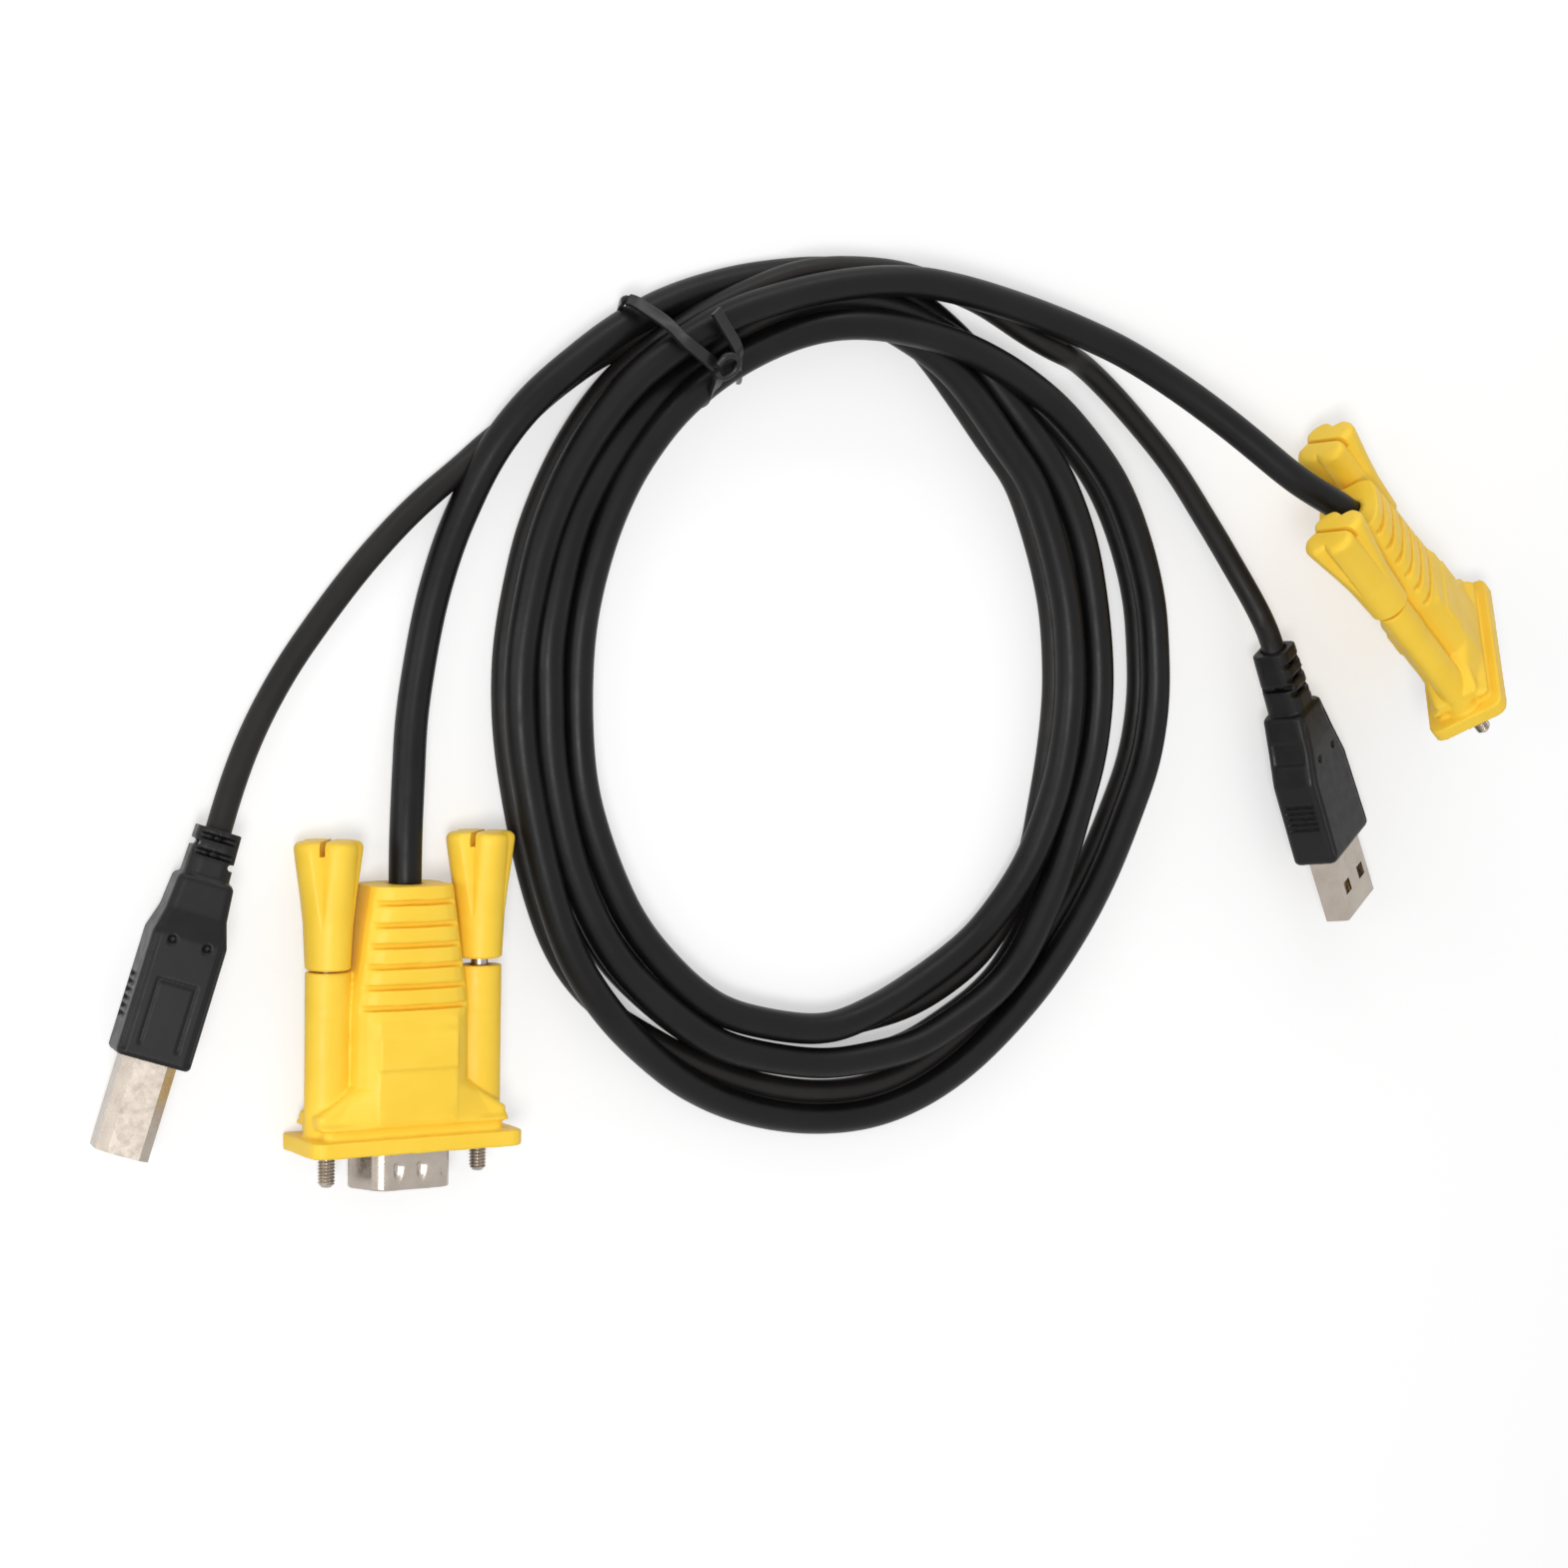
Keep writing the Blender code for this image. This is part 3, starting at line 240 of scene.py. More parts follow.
class Shader:
    """A Principled material whose colour, roughness and bump come from noise."""

    def __init__(self, name, roughness, metallic=0.0, specular=0.5):
        self.material = bpy.data.materials.new(name)
        self.material.use_nodes = True
        self.tree = self.material.node_tree
        self.shader = self.tree.nodes["Principled BSDF"]
        self.shader.inputs["Roughness"].default_value = roughness
        self.shader.inputs["Metallic"].default_value = metallic
        self.shader.inputs["Specular IOR Level"].default_value = specular
        self.place = self.node("ShaderNodeTexCoord").outputs["Object"]

    def node(self, kind, **values):
        node = self.tree.nodes.new(kind)
        for key, value in values.items():
            setattr(node, key, value)
        return node

    def link(self, source, target):
        self.tree.links.new(source, target)

    def noise(self, scale, detail=3.0, rough=0.5, stretch=None):
        node = self.node("ShaderNodeTexNoise")
        node.inputs["Scale"].default_value = scale
        node.inputs["Detail"].default_value = detail
        node.inputs["Roughness"].default_value = rough
        place = self.place
        if stretch is not None:
            mapping = self.node("ShaderNodeMapping")
            mapping.inputs["Scale"].default_value = stretch
            self.link(place, mapping.inputs["Vector"])
            place = mapping.outputs["Vector"]
        self.link(place, node.inputs["Vector"])
        return node.outputs["Fac"]

    def ramp(self, source, stops):
        node = self.node("ShaderNodeValToRGB")
        elements = node.color_ramp.elements
        while len(elements) < len(stops):
            elements.new(0.5)
        for element, (place, colour) in zip(elements, stops):
            element.position = place
            element.color = (*colour, 1.0)
        self.link(source, node.inputs["Fac"])
        return node.outputs["Color"]

    def colour(self, source, stops):
        self.link(self.ramp(source, stops), self.shader.inputs["Base Color"])

    def roughness(self, source, low, high):
        node = self.node("ShaderNodeMapRange")
        node.inputs["From Min"].default_value = 0.3
        node.inputs["From Max"].default_value = 0.7
        node.inputs["To Min"].default_value = low
        node.inputs["To Max"].default_value = high
        self.link(source, node.inputs["Value"])
        self.link(node.outputs["Result"], self.shader.inputs["Roughness"])

    def bump(self, layers):
        """Layers are (height source, strength, distance in metres), coarse to fine."""
        before = None
        for source, strength, distance in layers:
            node = self.node("ShaderNodeBump")
            node.inputs["Strength"].default_value = strength
            node.inputs["Distance"].default_value = distance
            self.link(source, node.inputs["Height"])
            if before is not None:
                self.link(before, node.inputs["Normal"])
            before = node.outputs["Normal"]
        self.link(before, self.shader.inputs["Normal"])


def pvc(name, dark, light, rough_low, rough_high, specular):
    """Soft black cable jacket: a satin skin with handling marks and a fine matt grain."""
    shader = Shader(name, 0.45, specular=specular)
    shader.colour(shader.noise(90.0, 4.0), [(0.35, dark), (0.7, light)])
    shader.roughness(shader.noise(260.0, 4.0), rough_low, rough_high)
    shader.bump([
        (shader.noise(420.0, 3.0), 0.25, 0.00015),
        (shader.noise(3800.0, 2.0), 0.35, 0.00003),
    ])
    return shader.material


def moulded(name, dark, light, rough_low, rough_high, specular=0.5, grain=0.3):
    """Injection-moulded plastic: faint flow marks and a fine spark-eroded grain."""
    shader = Shader(name, 0.4, specular=specular)
    shader.colour(shader.noise(120.0, 3.0), [(0.3, dark), (0.7, light)])
    shader.roughness(shader.noise(500.0, 4.0), rough_low, rough_high)
    shader.bump([
        (shader.noise(300.0, 2.0), 0.12, 0.0001),
        (shader.noise(6000.0, 2.0), grain, 0.00002),
    ])
    return shader.material


def plated(name, dark, light, rough_low, rough_high):
    """Nickel plate over pressed steel: soft reflections, small scuffs and fine drawing lines."""
    shader = Shader(name, 0.3, metallic=1.0)
    shader.colour(shader.noise(350.0, 5.0), [(0.3, dark), (0.65, light)])
    shader.roughness(shader.noise(900.0, 5.0), rough_low, rough_high)
    shader.bump([
        (shader.noise(700.0, 3.0), 0.15, 0.00005),
        (shader.noise(5000.0, 2.0), 0.15, 0.00001),
    ])
    return shader.material


MATERIALS = {
    "video_jacket": pvc("video_jacket", (0.0034, 0.0033, 0.0036), (0.0064, 0.0062, 0.0064), 0.34, 0.45, 0.2),
    "usb_jacket": pvc("usb_jacket", (0.0082, 0.0072, 0.0068), (0.0135, 0.012, 0.0113), 0.38, 0.5, 0.22),
    "yellow": moulded("yellow_hood", (0.93, 0.6, 0.045), (0.97, 0.65, 0.06), 0.38, 0.5, 0.3),
    "black_mould": moulded("black_mould", (0.0048, 0.0046, 0.0049), (0.0082, 0.0079, 0.008),
                           0.34, 0.46, 0.22),
    "insulator": moulded("insulator", (0.012, 0.012, 0.014), (0.02, 0.02, 0.022), 0.4, 0.5),
    "natural": moulded("natural_resin", (0.68, 0.66, 0.6), (0.78, 0.76, 0.71), 0.4, 0.55),
    "nickel": plated("nickel", (0.4, 0.35, 0.3), (0.46, 0.405, 0.35), 0.22, 0.33),
    "screw": plated("screw_steel", (0.36, 0.32, 0.28), (0.46, 0.41, 0.36), 0.22, 0.38),
    "gold": plated("contact_gold", (0.75, 0.5, 0.2), (0.9, 0.65, 0.3), 0.18, 0.3),
    "tie": moulded("tie_plastic", (0.006, 0.006, 0.006), (0.013, 0.0125, 0.0125), 0.3, 0.42, 0.35),
}


# Meshes


def make_piece(name, shape, material, body, nodes, angle=35.0):
    """Turns a bmesh in metres into a piece of the object."""
    mesh = bpy.data.meshes.new(name)
    bmesh.ops.recalc_face_normals(shape, faces=shape.faces)
    shape.to_mesh(mesh)
    shape.free()
    piece = bpy.data.objects.new(name, mesh)
    bpy.context.scene.collection.objects.link(piece)
    mesh.shade_smooth()
    mesh.set_sharp_from_angle(angle=math.radians(angle))
    mesh.materials.clear()
    mesh.materials.append(MATERIALS[material])
    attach(piece, body)
    if nodes:
        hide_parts(*nodes)
    return piece


def add_rings(shape, rings, closed_ends=True, round_trip=False):
    """Skins rows of points, each row a ring."""
    rows = [[shape.verts.new(tuple(point)) for point in ring] for ring in rings]
    count = len(rows[0])
    pairs = list(zip(rows, rows[1:]))
    if round_trip:
        pairs.append((rows[-1], rows[0]))
    for near, far in pairs:
        for i in range(count):
            j = (i + 1) % count
            shape.faces.new((near[i], near[j], far[j], far[i]))
    if closed_ends and not round_trip:
        shape.faces.new(rows[0])
        shape.faces.new(rows[-1])
    return rows


def path_frames(path, first_side):
    """Unit tangents, sides and ups along a path, without twist."""
    tangents = np.gradient(path, axis=0)
    tangents /= np.linalg.norm(tangents, axis=1)[:, None]
    side = np.array(first_side, float)
    sides = []
    for tangent in tangents:
        side = side - tangent * (side @ tangent)
        side = side / np.linalg.norm(side)
        sides.append(side)
    sides = np.array(sides)
    return tangents, sides, np.cross(tangents, sides)


def add_tube(shape, path, radius, sides):
    """A round tube in metres; the radius is one number or one for each point."""
    radii = np.broadcast_to(np.asarray(radius, float), (len(path),))
    _, side, up = path_frames(path, (0.3, 0.2, 0.93))
    turn = np.linspace(0.0, math.tau, sides, endpoint=False)
    around = (np.cos(turn)[None, :, None] * side[:, None, :]
              + np.sin(turn)[None, :, None] * up[:, None, :])
    add_rings(shape, path[:, None, :] + radii[:, None, None] * around)


def jacketed_core(path, radius, seed):
    """A round core in metres, with the slight unevenness of an extruded jacket."""
    shape = bmesh.new()
    along = np.arange(len(path))
    uneven = 1.0 + 0.006 * np.sin(along * 0.071 + seed) + 0.005 * np.sin(along * 0.19 + 2 * seed)
    add_tube(shape, path, radius * MM * uneven, CORE_SIDES)
    return shape


def route():
    """The video core's path and the USB core's path, in working millimetres."""
    rows = list(KVM_LEAD) + list(FIRST_TURN) + list(SECOND_TURN) + list(THIRD_TURN) + list(PC_LEAD)
    fine = smooth(rows)
    heading = np.gradient(fine[:, :3], axis=0)
    heading[:, 2] = 0.0
    heading /= np.linalg.norm(heading, axis=1)[:, None]
    outward = np.stack([-heading[:, 1], heading[:, 0], np.zeros(len(fine))], 1)
    lean = np.radians(fine[:, 3])[:, None]
    beside = fine[:, :3] + CORE_SPACING * (np.sin(lean) * outward - np.cos(lean) * np.array([0.0, 0.0, 1.0]))
    beside[:, 2] = np.maximum(beside[:, 2], USB_RADIUS + FLOOR_GAP)
    joined = slice(KVM_PARTED * ROUTE_STEPS, len(fine) - PC_PARTED * ROUTE_STEPS)
    return fine[:, :3], beside[joined], fine[joined, :3]


def add_cords():
    video, beside, beside_video = route()
    start = [in_plug("kvm_vga", 0.0, 0.0, z) for z in (-22.0, -30.0, -HOOD_LENGTH, -HOOD_LENGTH - 8.0)]
    end = [in_plug("pc_vga", 0.0, 0.0, z) for z in (-HOOD_LENGTH, -30.0, -22.0)]
    end.insert(0, world([PC_BEND])[0])
    video_path = np.vstack([smooth(start, 6)[:-1], world(video), smooth(end, 6)])
    video_path = relaxed(spaced(video_path, CORE_STEP), 12)
    usb_start = [in_plug("kvm_usb_b", 0.0, 0.0, z) for z in (-20.0, -28.0, -B_RELIEF_END)]
    usb_end = [in_plug("pc_usb_a", 0.0, 0.0, z) for z in (-A_RELIEF_END, -28.0, -18.0)]
    usb_rows = np.vstack([usb_start, world(KVM_USB_LEAD), world(beside)[::4],
                          world(PC_USB_LEAD)[::-1], usb_end])
    usb_path = relaxed(spaced(smooth(usb_rows, 6), CORE_STEP), 12)

    video_cord = make_piece("video_core", jacketed_core(video_path, VIDEO_RADIUS, 1.0), "video_jacket",
                            "cable", ("cable_coil", "kvm_vga_lead", "pc_vga_lead"))
    usb_cord = make_piece("usb_core", jacketed_core(usb_path, USB_RADIUS, 2.0), "usb_jacket",
                          "cable", ("kvm_usb_lead", "pc_usb_lead"))

    web = bmesh.new()
    share = VIDEO_RADIUS / CORE_SPACING
    middle = world(beside_video) * (1 - share) + world(beside) * share
    add_tube(web, relaxed(spaced(middle, WEB_STEP), 6), WEB_RADIUS * MM, WEB_SIDES)
    web_piece = make_piece("core_web", web, "video_jacket", "cable", ())


def evaluated_mesh(piece):
    """The piece's mesh with its modifiers applied, and no modifiers left."""
    shown = piece.evaluated_get(bpy.context.evaluated_depsgraph_get())
    mesh = bpy.data.meshes.new_from_object(shown)
    piece.modifiers.clear()
    piece.data = mesh
    return mesh


def softened(node, name, voxel, rounds, material, body, plug, reshape, keep=1.0):
    """A copy of a solid with its edges rounded.

    The function reshape moves the points, given in plug millimetres, and keep is the share of faces kept.
    """
    shape = bmesh.new()
    shape.from_mesh(frame["nodes"][node].data)
    bmesh.ops.remove_doubles(shape, verts=shape.verts, dist=SAME_POINT)
    mesh = bpy.data.meshes.new(name)
    shape.to_mesh(mesh)
    shape.free()
    piece = bpy.data.objects.new(name, mesh)
    bpy.context.scene.collection.objects.link(piece)
    remesh = piece.modifiers.new("remesh", "REMESH")
    remesh.mode = "VOXEL"
    remesh.voxel_size = voxel * MM
    smoothing = piece.modifiers.new("smooth", "SMOOTH")
    smoothing.factor = 0.5
    smoothing.iterations = rounds
    mesh = evaluated_mesh(piece)
    into = PLUGS[plug].inverted()
    points = np.empty(len(mesh.vertices) * 3)
    mesh.vertices.foreach_get("co", points)
    points = points.reshape(-1, 3)
    turn = np.array(into.to_3x3())
    local = reshape(points @ turn.T + np.array(into.translation))
    out = np.array(PLUGS[plug].to_3x3())
    points = local @ out.T + np.array(PLUGS[plug].translation)
    mesh.vertices.foreach_set("co", points.ravel())
    if keep < 1:
        thinning = piece.modifiers.new("thin", "DECIMATE")
        thinning.ratio = keep
        mesh = evaluated_mesh(piece)
    mesh.shade_smooth()
    mesh.materials.clear()
    mesh.materials.append(MATERIALS[material])
    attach(piece, body)
    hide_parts(node)
    return piece


def ease(value, start, end):
    """0 before start, 1 after end, smooth between."""
    share = np.clip((value - start) / (end - start), 0.0, 1.0)
    return share * share * (3 - 2 * share)


def patch(x, z, box, soft):
    """1 inside a rectangle of a face, 0 outside it, with a soft edge."""
    low_x, high_x, low_z, high_z = box
    return (ease(x, low_x - soft, low_x) * (1 - ease(x, high_x, high_x + soft))
            * ease(z, low_z - soft, low_z) * (1 - ease(z, high_z, high_z + soft)))


def closed_bore(points, bore, radius, start):
    """Draws the wall of a bore, beyond start, in against the core that runs through it."""
    out = points.copy()
    reach = np.hypot(points[:, 0], points[:, 1])
    wall = (reach > radius) & (reach < bore) & (points[:, 2] < start)
    out[wall, :2] *= (radius / reach[wall])[:, None]
    return out


def shape_hood(points):
    """Crowns the grip, creases the panel down the middle and lifts the label plate."""
    x, y, z = points.T
    half = np.interp(-z, [0.0, 10.0, 22.0, 40.0], [15.5, 9.4, 9.3, 6.7])
    across = np.clip(np.abs(x) / half, 0.0, 1.0)
    grip = ease(-z, 19.5, 21.0)
    crown = 0.2 * across ** 2.2
    facet = 0.24 * np.clip((np.abs(x) - 6.4) / (half - 6.4), 0.0, 1.0)
    body = ease(-z, 4.0, 5.2)
    fall = grip * crown + (1 - grip) * facet * body
    broad = ease(np.abs(y), 3.0, 4.2)
    raised = 0.16 * patch(x, z, (-6.3, 6.3, -17.3, -12.7), 0.25)
    panel = 0.1 * patch(x, z, (-6.3, 6.3, -20.2, -4.6), 0.3)
    out = points.copy()
    out[:, 1] = y * (1 - fall) + np.sign(y) * broad * (raised + panel)
    return closed_bore(out, 3.3, 2.45, -19.5)


def add_hoods():
    return {plug: softened(plug + "_hood", plug + "_moulded_hood", HOOD_VOXEL, 3, "yellow", "cable",
                           plug, shape_hood, HOOD_KEPT)
            for plug in ("kvm_vga", "pc_vga")}


# Thumbscrews: body, plug, side of the plug, stand-off from the sleeve, turn in degrees
THUMBSCREWS = (
    ("kvm_left", "kvm_vga", -1, 0.3, 36.5),
    ("kvm_right", "kvm_vga", 1, 1.1, 42.5),
    ("pc_left", "pc_vga", 1, 0.3, 30.0),
    ("pc_right", "pc_vga", -1, 0.3, 30.0),
)
KNOB_LENGTH = 19.3
KNOB_SHAPE = ((0.0, 0.36, 0.59, 0.78, 0.92, 1.0), (3.42, 3.74, 4.22, 4.68, 4.98, 5.04))
KNOB_CORNER = 1.1
FLUTE_DEPTH = 1.35
FLUTE_HALF_WIDTH = 1.85
FLUTE_START = 0.3
KNOB_ROUNDING = 0.6
KNOB_POINTS = 120
KNOB_RINGS = 46
KNOB_CORNER_RINGS = 7
KNOB_BORE_RADIUS = 1.65
KNOB_BORE_DEPTH = 15.8
KNOB_EDGE = 0.3
KNOB_SHARP_ANGLE = 32.0

# The cutter of the slot across a knob's end: long, wide, and deep on both sides of the end face
END_SLOT_CUTTER = (14.0, 0.85, 4.4)


# Jackscrews
THREAD_PITCH = 0.5
THREAD_START = -3.9
THREAD_DEPTH = 0.24
SCREW_POINTS = 24
SCREW_TIP = 0.45
SCREW_RADIUS = 1.35
SCREW_THREAD_OUT = 5.2
SCREW_IN_KNOB = 15.4


def knob_ring(share, turn, inset=0.0):
    """The knob's outline: round at its neck, square with four V flutes at its end."""
    radius = np.interp(share, *KNOB_SHAPE) - inset
    flare = (radius - KNOB_SHAPE[1][0]) / (KNOB_SHAPE[1][-1] - KNOB_SHAPE[1][0])
    flare = float(np.clip(flare, 0.0, 1.0))
    angle = np.linspace(0.0, math.tau, KNOB_POINTS, endpoint=False)
    square = (np.abs(np.cos(angle)) ** 4 + np.abs(np.sin(angle)) ** 4) ** -0.25
    reach = radius * (1 + (square - 1) * KNOB_ROUNDING * flare)
    depth = float(np.clip((share - FLUTE_START) / (1 - FLUTE_START), 0.0, 1.0))
    quarter = (angle + math.pi / 4) % (math.pi / 2) - math.pi / 4
    if depth > 0:
        off = radius * np.abs(np.sin(quarter)) / (FLUTE_HALF_WIDTH * depth ** 0.8)
        reach = reach - FLUTE_DEPTH * depth * np.clip(1 - off, 0.0, 1.0)
    angle = angle + math.radians(turn)
    return np.stack([reach * np.cos(angle), reach * np.sin(angle)], 1)


def placed(plug, ring, x, z):
    """A ring of plug millimetres, moved along the plug, as points of the frame."""
    matrix = np.array(PLUGS[plug])
    local = np.column_stack([ring[:, 0] + x, ring[:, 1], np.full(len(ring), z)])
    return local @ matrix[:3, :3].T + matrix[:3, 3]


def round_ring(radius, count):
    angle = np.linspace(0.0, math.tau, count, endpoint=False)
    return np.stack([radius * np.cos(angle), radius * np.sin(angle)], 1)


def end_slot_tool(plug, x, z, turn):
    """The screwdriver slot across a knob's end."""
    shape = bmesh.new()
    bmesh.ops.create_cube(shape, size=1.0)
    bmesh.ops.scale(shape, vec=END_SLOT_CUTTER, verts=shape.verts)
    bmesh.ops.rotate(shape, matrix=Matrix.Rotation(math.radians(turn), 3, "Z"), verts=shape.verts)
    bmesh.ops.translate(shape, vec=(x, 0.0, z), verts=shape.verts)
    bmesh.ops.transform(shape, matrix=PLUGS[plug], verts=shape.verts)
    mesh = bpy.data.meshes.new("end slot")
    shape.to_mesh(mesh)
    shape.free()
    tool = bpy.data.objects.new("end slot", mesh)
    bpy.context.scene.collection.objects.link(tool)
    return tool


def add_knob(screw, plug, x, stand_off, turn):
    top = -SLEEVE_END - stand_off
    bore = round_ring(KNOB_BORE_RADIUS, KNOB_POINTS)
    rings = [placed(plug, bore, x, top - KNOB_BORE_DEPTH), placed(plug, bore, x, top)]
    rings.append(placed(plug, knob_ring(0.0, turn, KNOB_EDGE), x, top))
    straight = KNOB_LENGTH - KNOB_CORNER
    for share in np.linspace(KNOB_EDGE / KNOB_LENGTH, straight / KNOB_LENGTH, KNOB_RINGS):
        rings.append(placed(plug, knob_ring(share, turn), x, top - share * KNOB_LENGTH))
    for step in range(1, KNOB_CORNER_RINGS + 1):
        bend = math.radians(90.0 * step / KNOB_CORNER_RINGS)
        depth = straight + KNOB_CORNER * math.sin(bend)
        inset = KNOB_CORNER * (1 - math.cos(bend))
        rings.append(placed(plug, knob_ring(depth / KNOB_LENGTH, turn, inset), x, top - depth))
    shape = bmesh.new()
    add_rings(shape, rings)
    name = f"{screw}_knob_grip"
    node = plug + "_" + screw.split("_")[1] + "_knob"
    piece = make_piece(name, shape, "yellow", screw + "_thumbscrew", (node,),
                       KNOB_SHARP_ANGLE)
    tool = end_slot_tool(plug, x, top - KNOB_LENGTH, turn + 90.0)
    cut = piece.modifiers.new("slot", "BOOLEAN")
    cut.operation = "DIFFERENCE"
    cut.solver = "EXACT"
    cut.object = tool
    mesh = evaluated_mesh(piece)
    bpy.data.objects.remove(tool)
    mesh.shade_smooth()
    mesh.set_sharp_from_angle(angle=math.radians(KNOB_SHARP_ANGLE))


def add_jackscrew(screw, plug, x, stand_off):
    """A steel screw with its thread standing out of the flange."""
    low = -SLEEVE_END - stand_off - SCREW_IN_KNOB
    high = SCREW_THREAD_OUT + 0.3 - stand_off
    threaded = list(np.arange(THREAD_START, high - SCREW_TIP, THREAD_PITCH / 8))
    levels = [low, -4.0] + threaded + [high - 0.4, high]
    angle = np.linspace(0.0, math.tau, SCREW_POINTS, endpoint=False)
    rings = []
    for level in levels:
        wave = np.abs(((level / THREAD_PITCH - angle / math.tau) % 1.0) - 0.5) * 2
        cut = THREAD_DEPTH * wave if THREAD_START <= level < high - SCREW_TIP else 0.0
        reach = np.full(SCREW_POINTS, SCREW_RADIUS - 0.02) - cut
        if level >= high - SCREW_TIP:
            reach = np.full(SCREW_POINTS, SCREW_RADIUS - 0.25 - 0.35 * (level == high))
        rings.append(placed(plug, np.stack([reach * np.cos(angle), reach * np.sin(angle)], 1), x, level))
    shape = bmesh.new()
    add_rings(shape, rings)
    node = plug + "_" + screw.split("_")[1] + "_screw"
    make_piece(f"{screw}_jackscrew", shape, "screw", screw + "_thumbscrew", (node,), 50.0)


def add_knobs():
    for screw, plug, side, stand_off, turn in THUMBSCREWS:
        add_knob(screw, plug, side * SLEEVE_OFFSET, stand_off, turn)
        add_jackscrew(screw, plug, side * SLEEVE_OFFSET, stand_off)


# The plug's axis points toward the socket: pins stand past this height, and the rest is insulator
PIN_FACE = 0.65
FOLD_RADIUS = 0.35
FOLD_SEGMENTS = 4
FOLD_LEAST_LENGTH = 4.0
FOLD_LEAST_ANGLE = 25.0


def dimple_shell(points):
    """Turns the D narrow side up and presses three grounding dimples into each broad face."""
    points = points * (-1.0, -1.0, 1.0)
    x, y, z = points.T
    out = points.copy()
    wall = ease(np.abs(y), 3.2, 3.5) * ease(z, 0.9, 1.6)
    for place in (-3.9, -0.1, 3.7):
        side = x - place * np.sign(y) - 1.25 * (y > 0)
        narrow = np.interp(z, [1.4, 2.4, 5.2], [0.5, 0.8, 0.25])
        along = ease(z, 1.3, 2.2) * (1 - ease(z, 3.4, 5.2))
        out[:, 1] -= np.sign(y) * 0.5 * wall * along * np.exp(-(side / narrow) ** 2)
    return out


def add_shells():
    for plug in ("kvm_vga", "pc_vga"):
        softened(plug + "_shell", plug + "_pressed_shell", SHELL_VOXEL, 2, "nickel", "cable",
                 plug, dimple_shell)


def add_pin_blocks():
    """The insulators with their pins, turned with the D; the pins are plated."""
    for plug in ("kvm_vga", "pc_vga"):
        mesh = frame["nodes"][plug + "_pin_block"].data.copy()
        into = PLUGS[plug].inverted()
        mesh.transform(PLUGS[plug] @ Matrix.Rotation(math.pi, 4, "Z") @ into)
        piece = bpy.data.objects.new(plug + "_pins", mesh)
        bpy.context.scene.collection.objects.link(piece)
        mesh.materials.clear()
        mesh.materials.append(MATERIALS["insulator"])
        mesh.materials.append(MATERIALS["gold"])
        for face in mesh.polygons:
            face.material_index = int((into @ face.center).z > PIN_FACE)
        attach(piece, "cable")
        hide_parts(plug + "_pin_block")


def add_usb_a_shell():
    """The USB A shell with the long edges of its folds rounded."""
    shape = bmesh.new()
    shape.from_mesh(frame["nodes"]["pc_usb_a_shell"].data)
    bmesh.ops.remove_doubles(shape, verts=shape.verts, dist=SAME_POINT)
    bmesh.ops.dissolve_limit(shape, angle_limit=math.radians(2.0), verts=shape.verts, edges=shape.edges)
    axis = (PLUGS["pc_usb_a"].to_3x3() @ Vector((0.0, 0.0, 1.0))).normalized()
    folds = []
    for edge in shape.edges:
        along = (edge.verts[1].co - edge.verts[0].co).normalized().dot(axis)
        long_enough = edge.calc_length() > FOLD_LEAST_LENGTH * MM
        if long_enough and abs(along) > 0.99 and edge.calc_face_angle(0.0) > math.radians(FOLD_LEAST_ANGLE):
            folds.append(edge)
    bmesh.ops.bevel(shape, geom=folds, offset=FOLD_RADIUS * MM, segments=FOLD_SEGMENTS, profile=0.5,
                    affect="EDGES", clamp_overlap=True)
    make_piece("pc_usb_a_folded_shell", shape, "nickel", "cable", ("pc_usb_a_shell",), 8.0)


def groove(value, places, half_width):
    """1 at each place, falling to 0 at the half width on either side."""
    total = np.zeros_like(value)
    for place in places:
        total = np.maximum(total, np.clip(1.4 * (1 - np.abs(value - place) / half_width), 0.0, 1.0))
    return total


def dots(x, z, places, radius):
    total = np.zeros_like(x)
    for place_x, place_z in places:
        far = np.hypot(x - place_x, z - place_z)
        total = np.maximum(total, 1 - ease(far, 0.55 * radius, radius))
    return total


def shape_usb_b(points):
    """Finger grooves on the sides, and the dots, line and shallow panel on the top face."""
    x, y, z = points.T
    out = points.copy()
    top = ease(y, 4.6, 5.0)
    out[:, 1] -= top * 0.7 * dots(x, z, ((-2.6, -17.9), (2.6, -17.9)), 0.75)
    rim = patch(x, z, (-2.9, 2.9, -12.0, -2.4), 0.25) - patch(x, z, (-2.45, 2.45, -11.6, -2.4), 0.25)
    out[:, 1] -= top * 0.22 * np.clip(rim, 0.0, 1.0)
    along = ease(-z, 0.6, 1.2) * (1 - ease(-z, 21.0, 22.5))
    out[:, 1] -= top * 0.3 * groove(np.abs(x), (4.85,), 0.45) * along
    sides = ease(np.abs(x), 4.9, 5.3) * (1 - ease(np.abs(y + 0.4), 3.0, 3.4))
    out[:, 0] -= np.sign(x) * 0.5 * sides * groove(z, (-11.4, -10.2, -9.0, -7.8, -6.6, -5.4), 0.42)
    return closed_bore(out, 2.6, 1.9, -20.0)


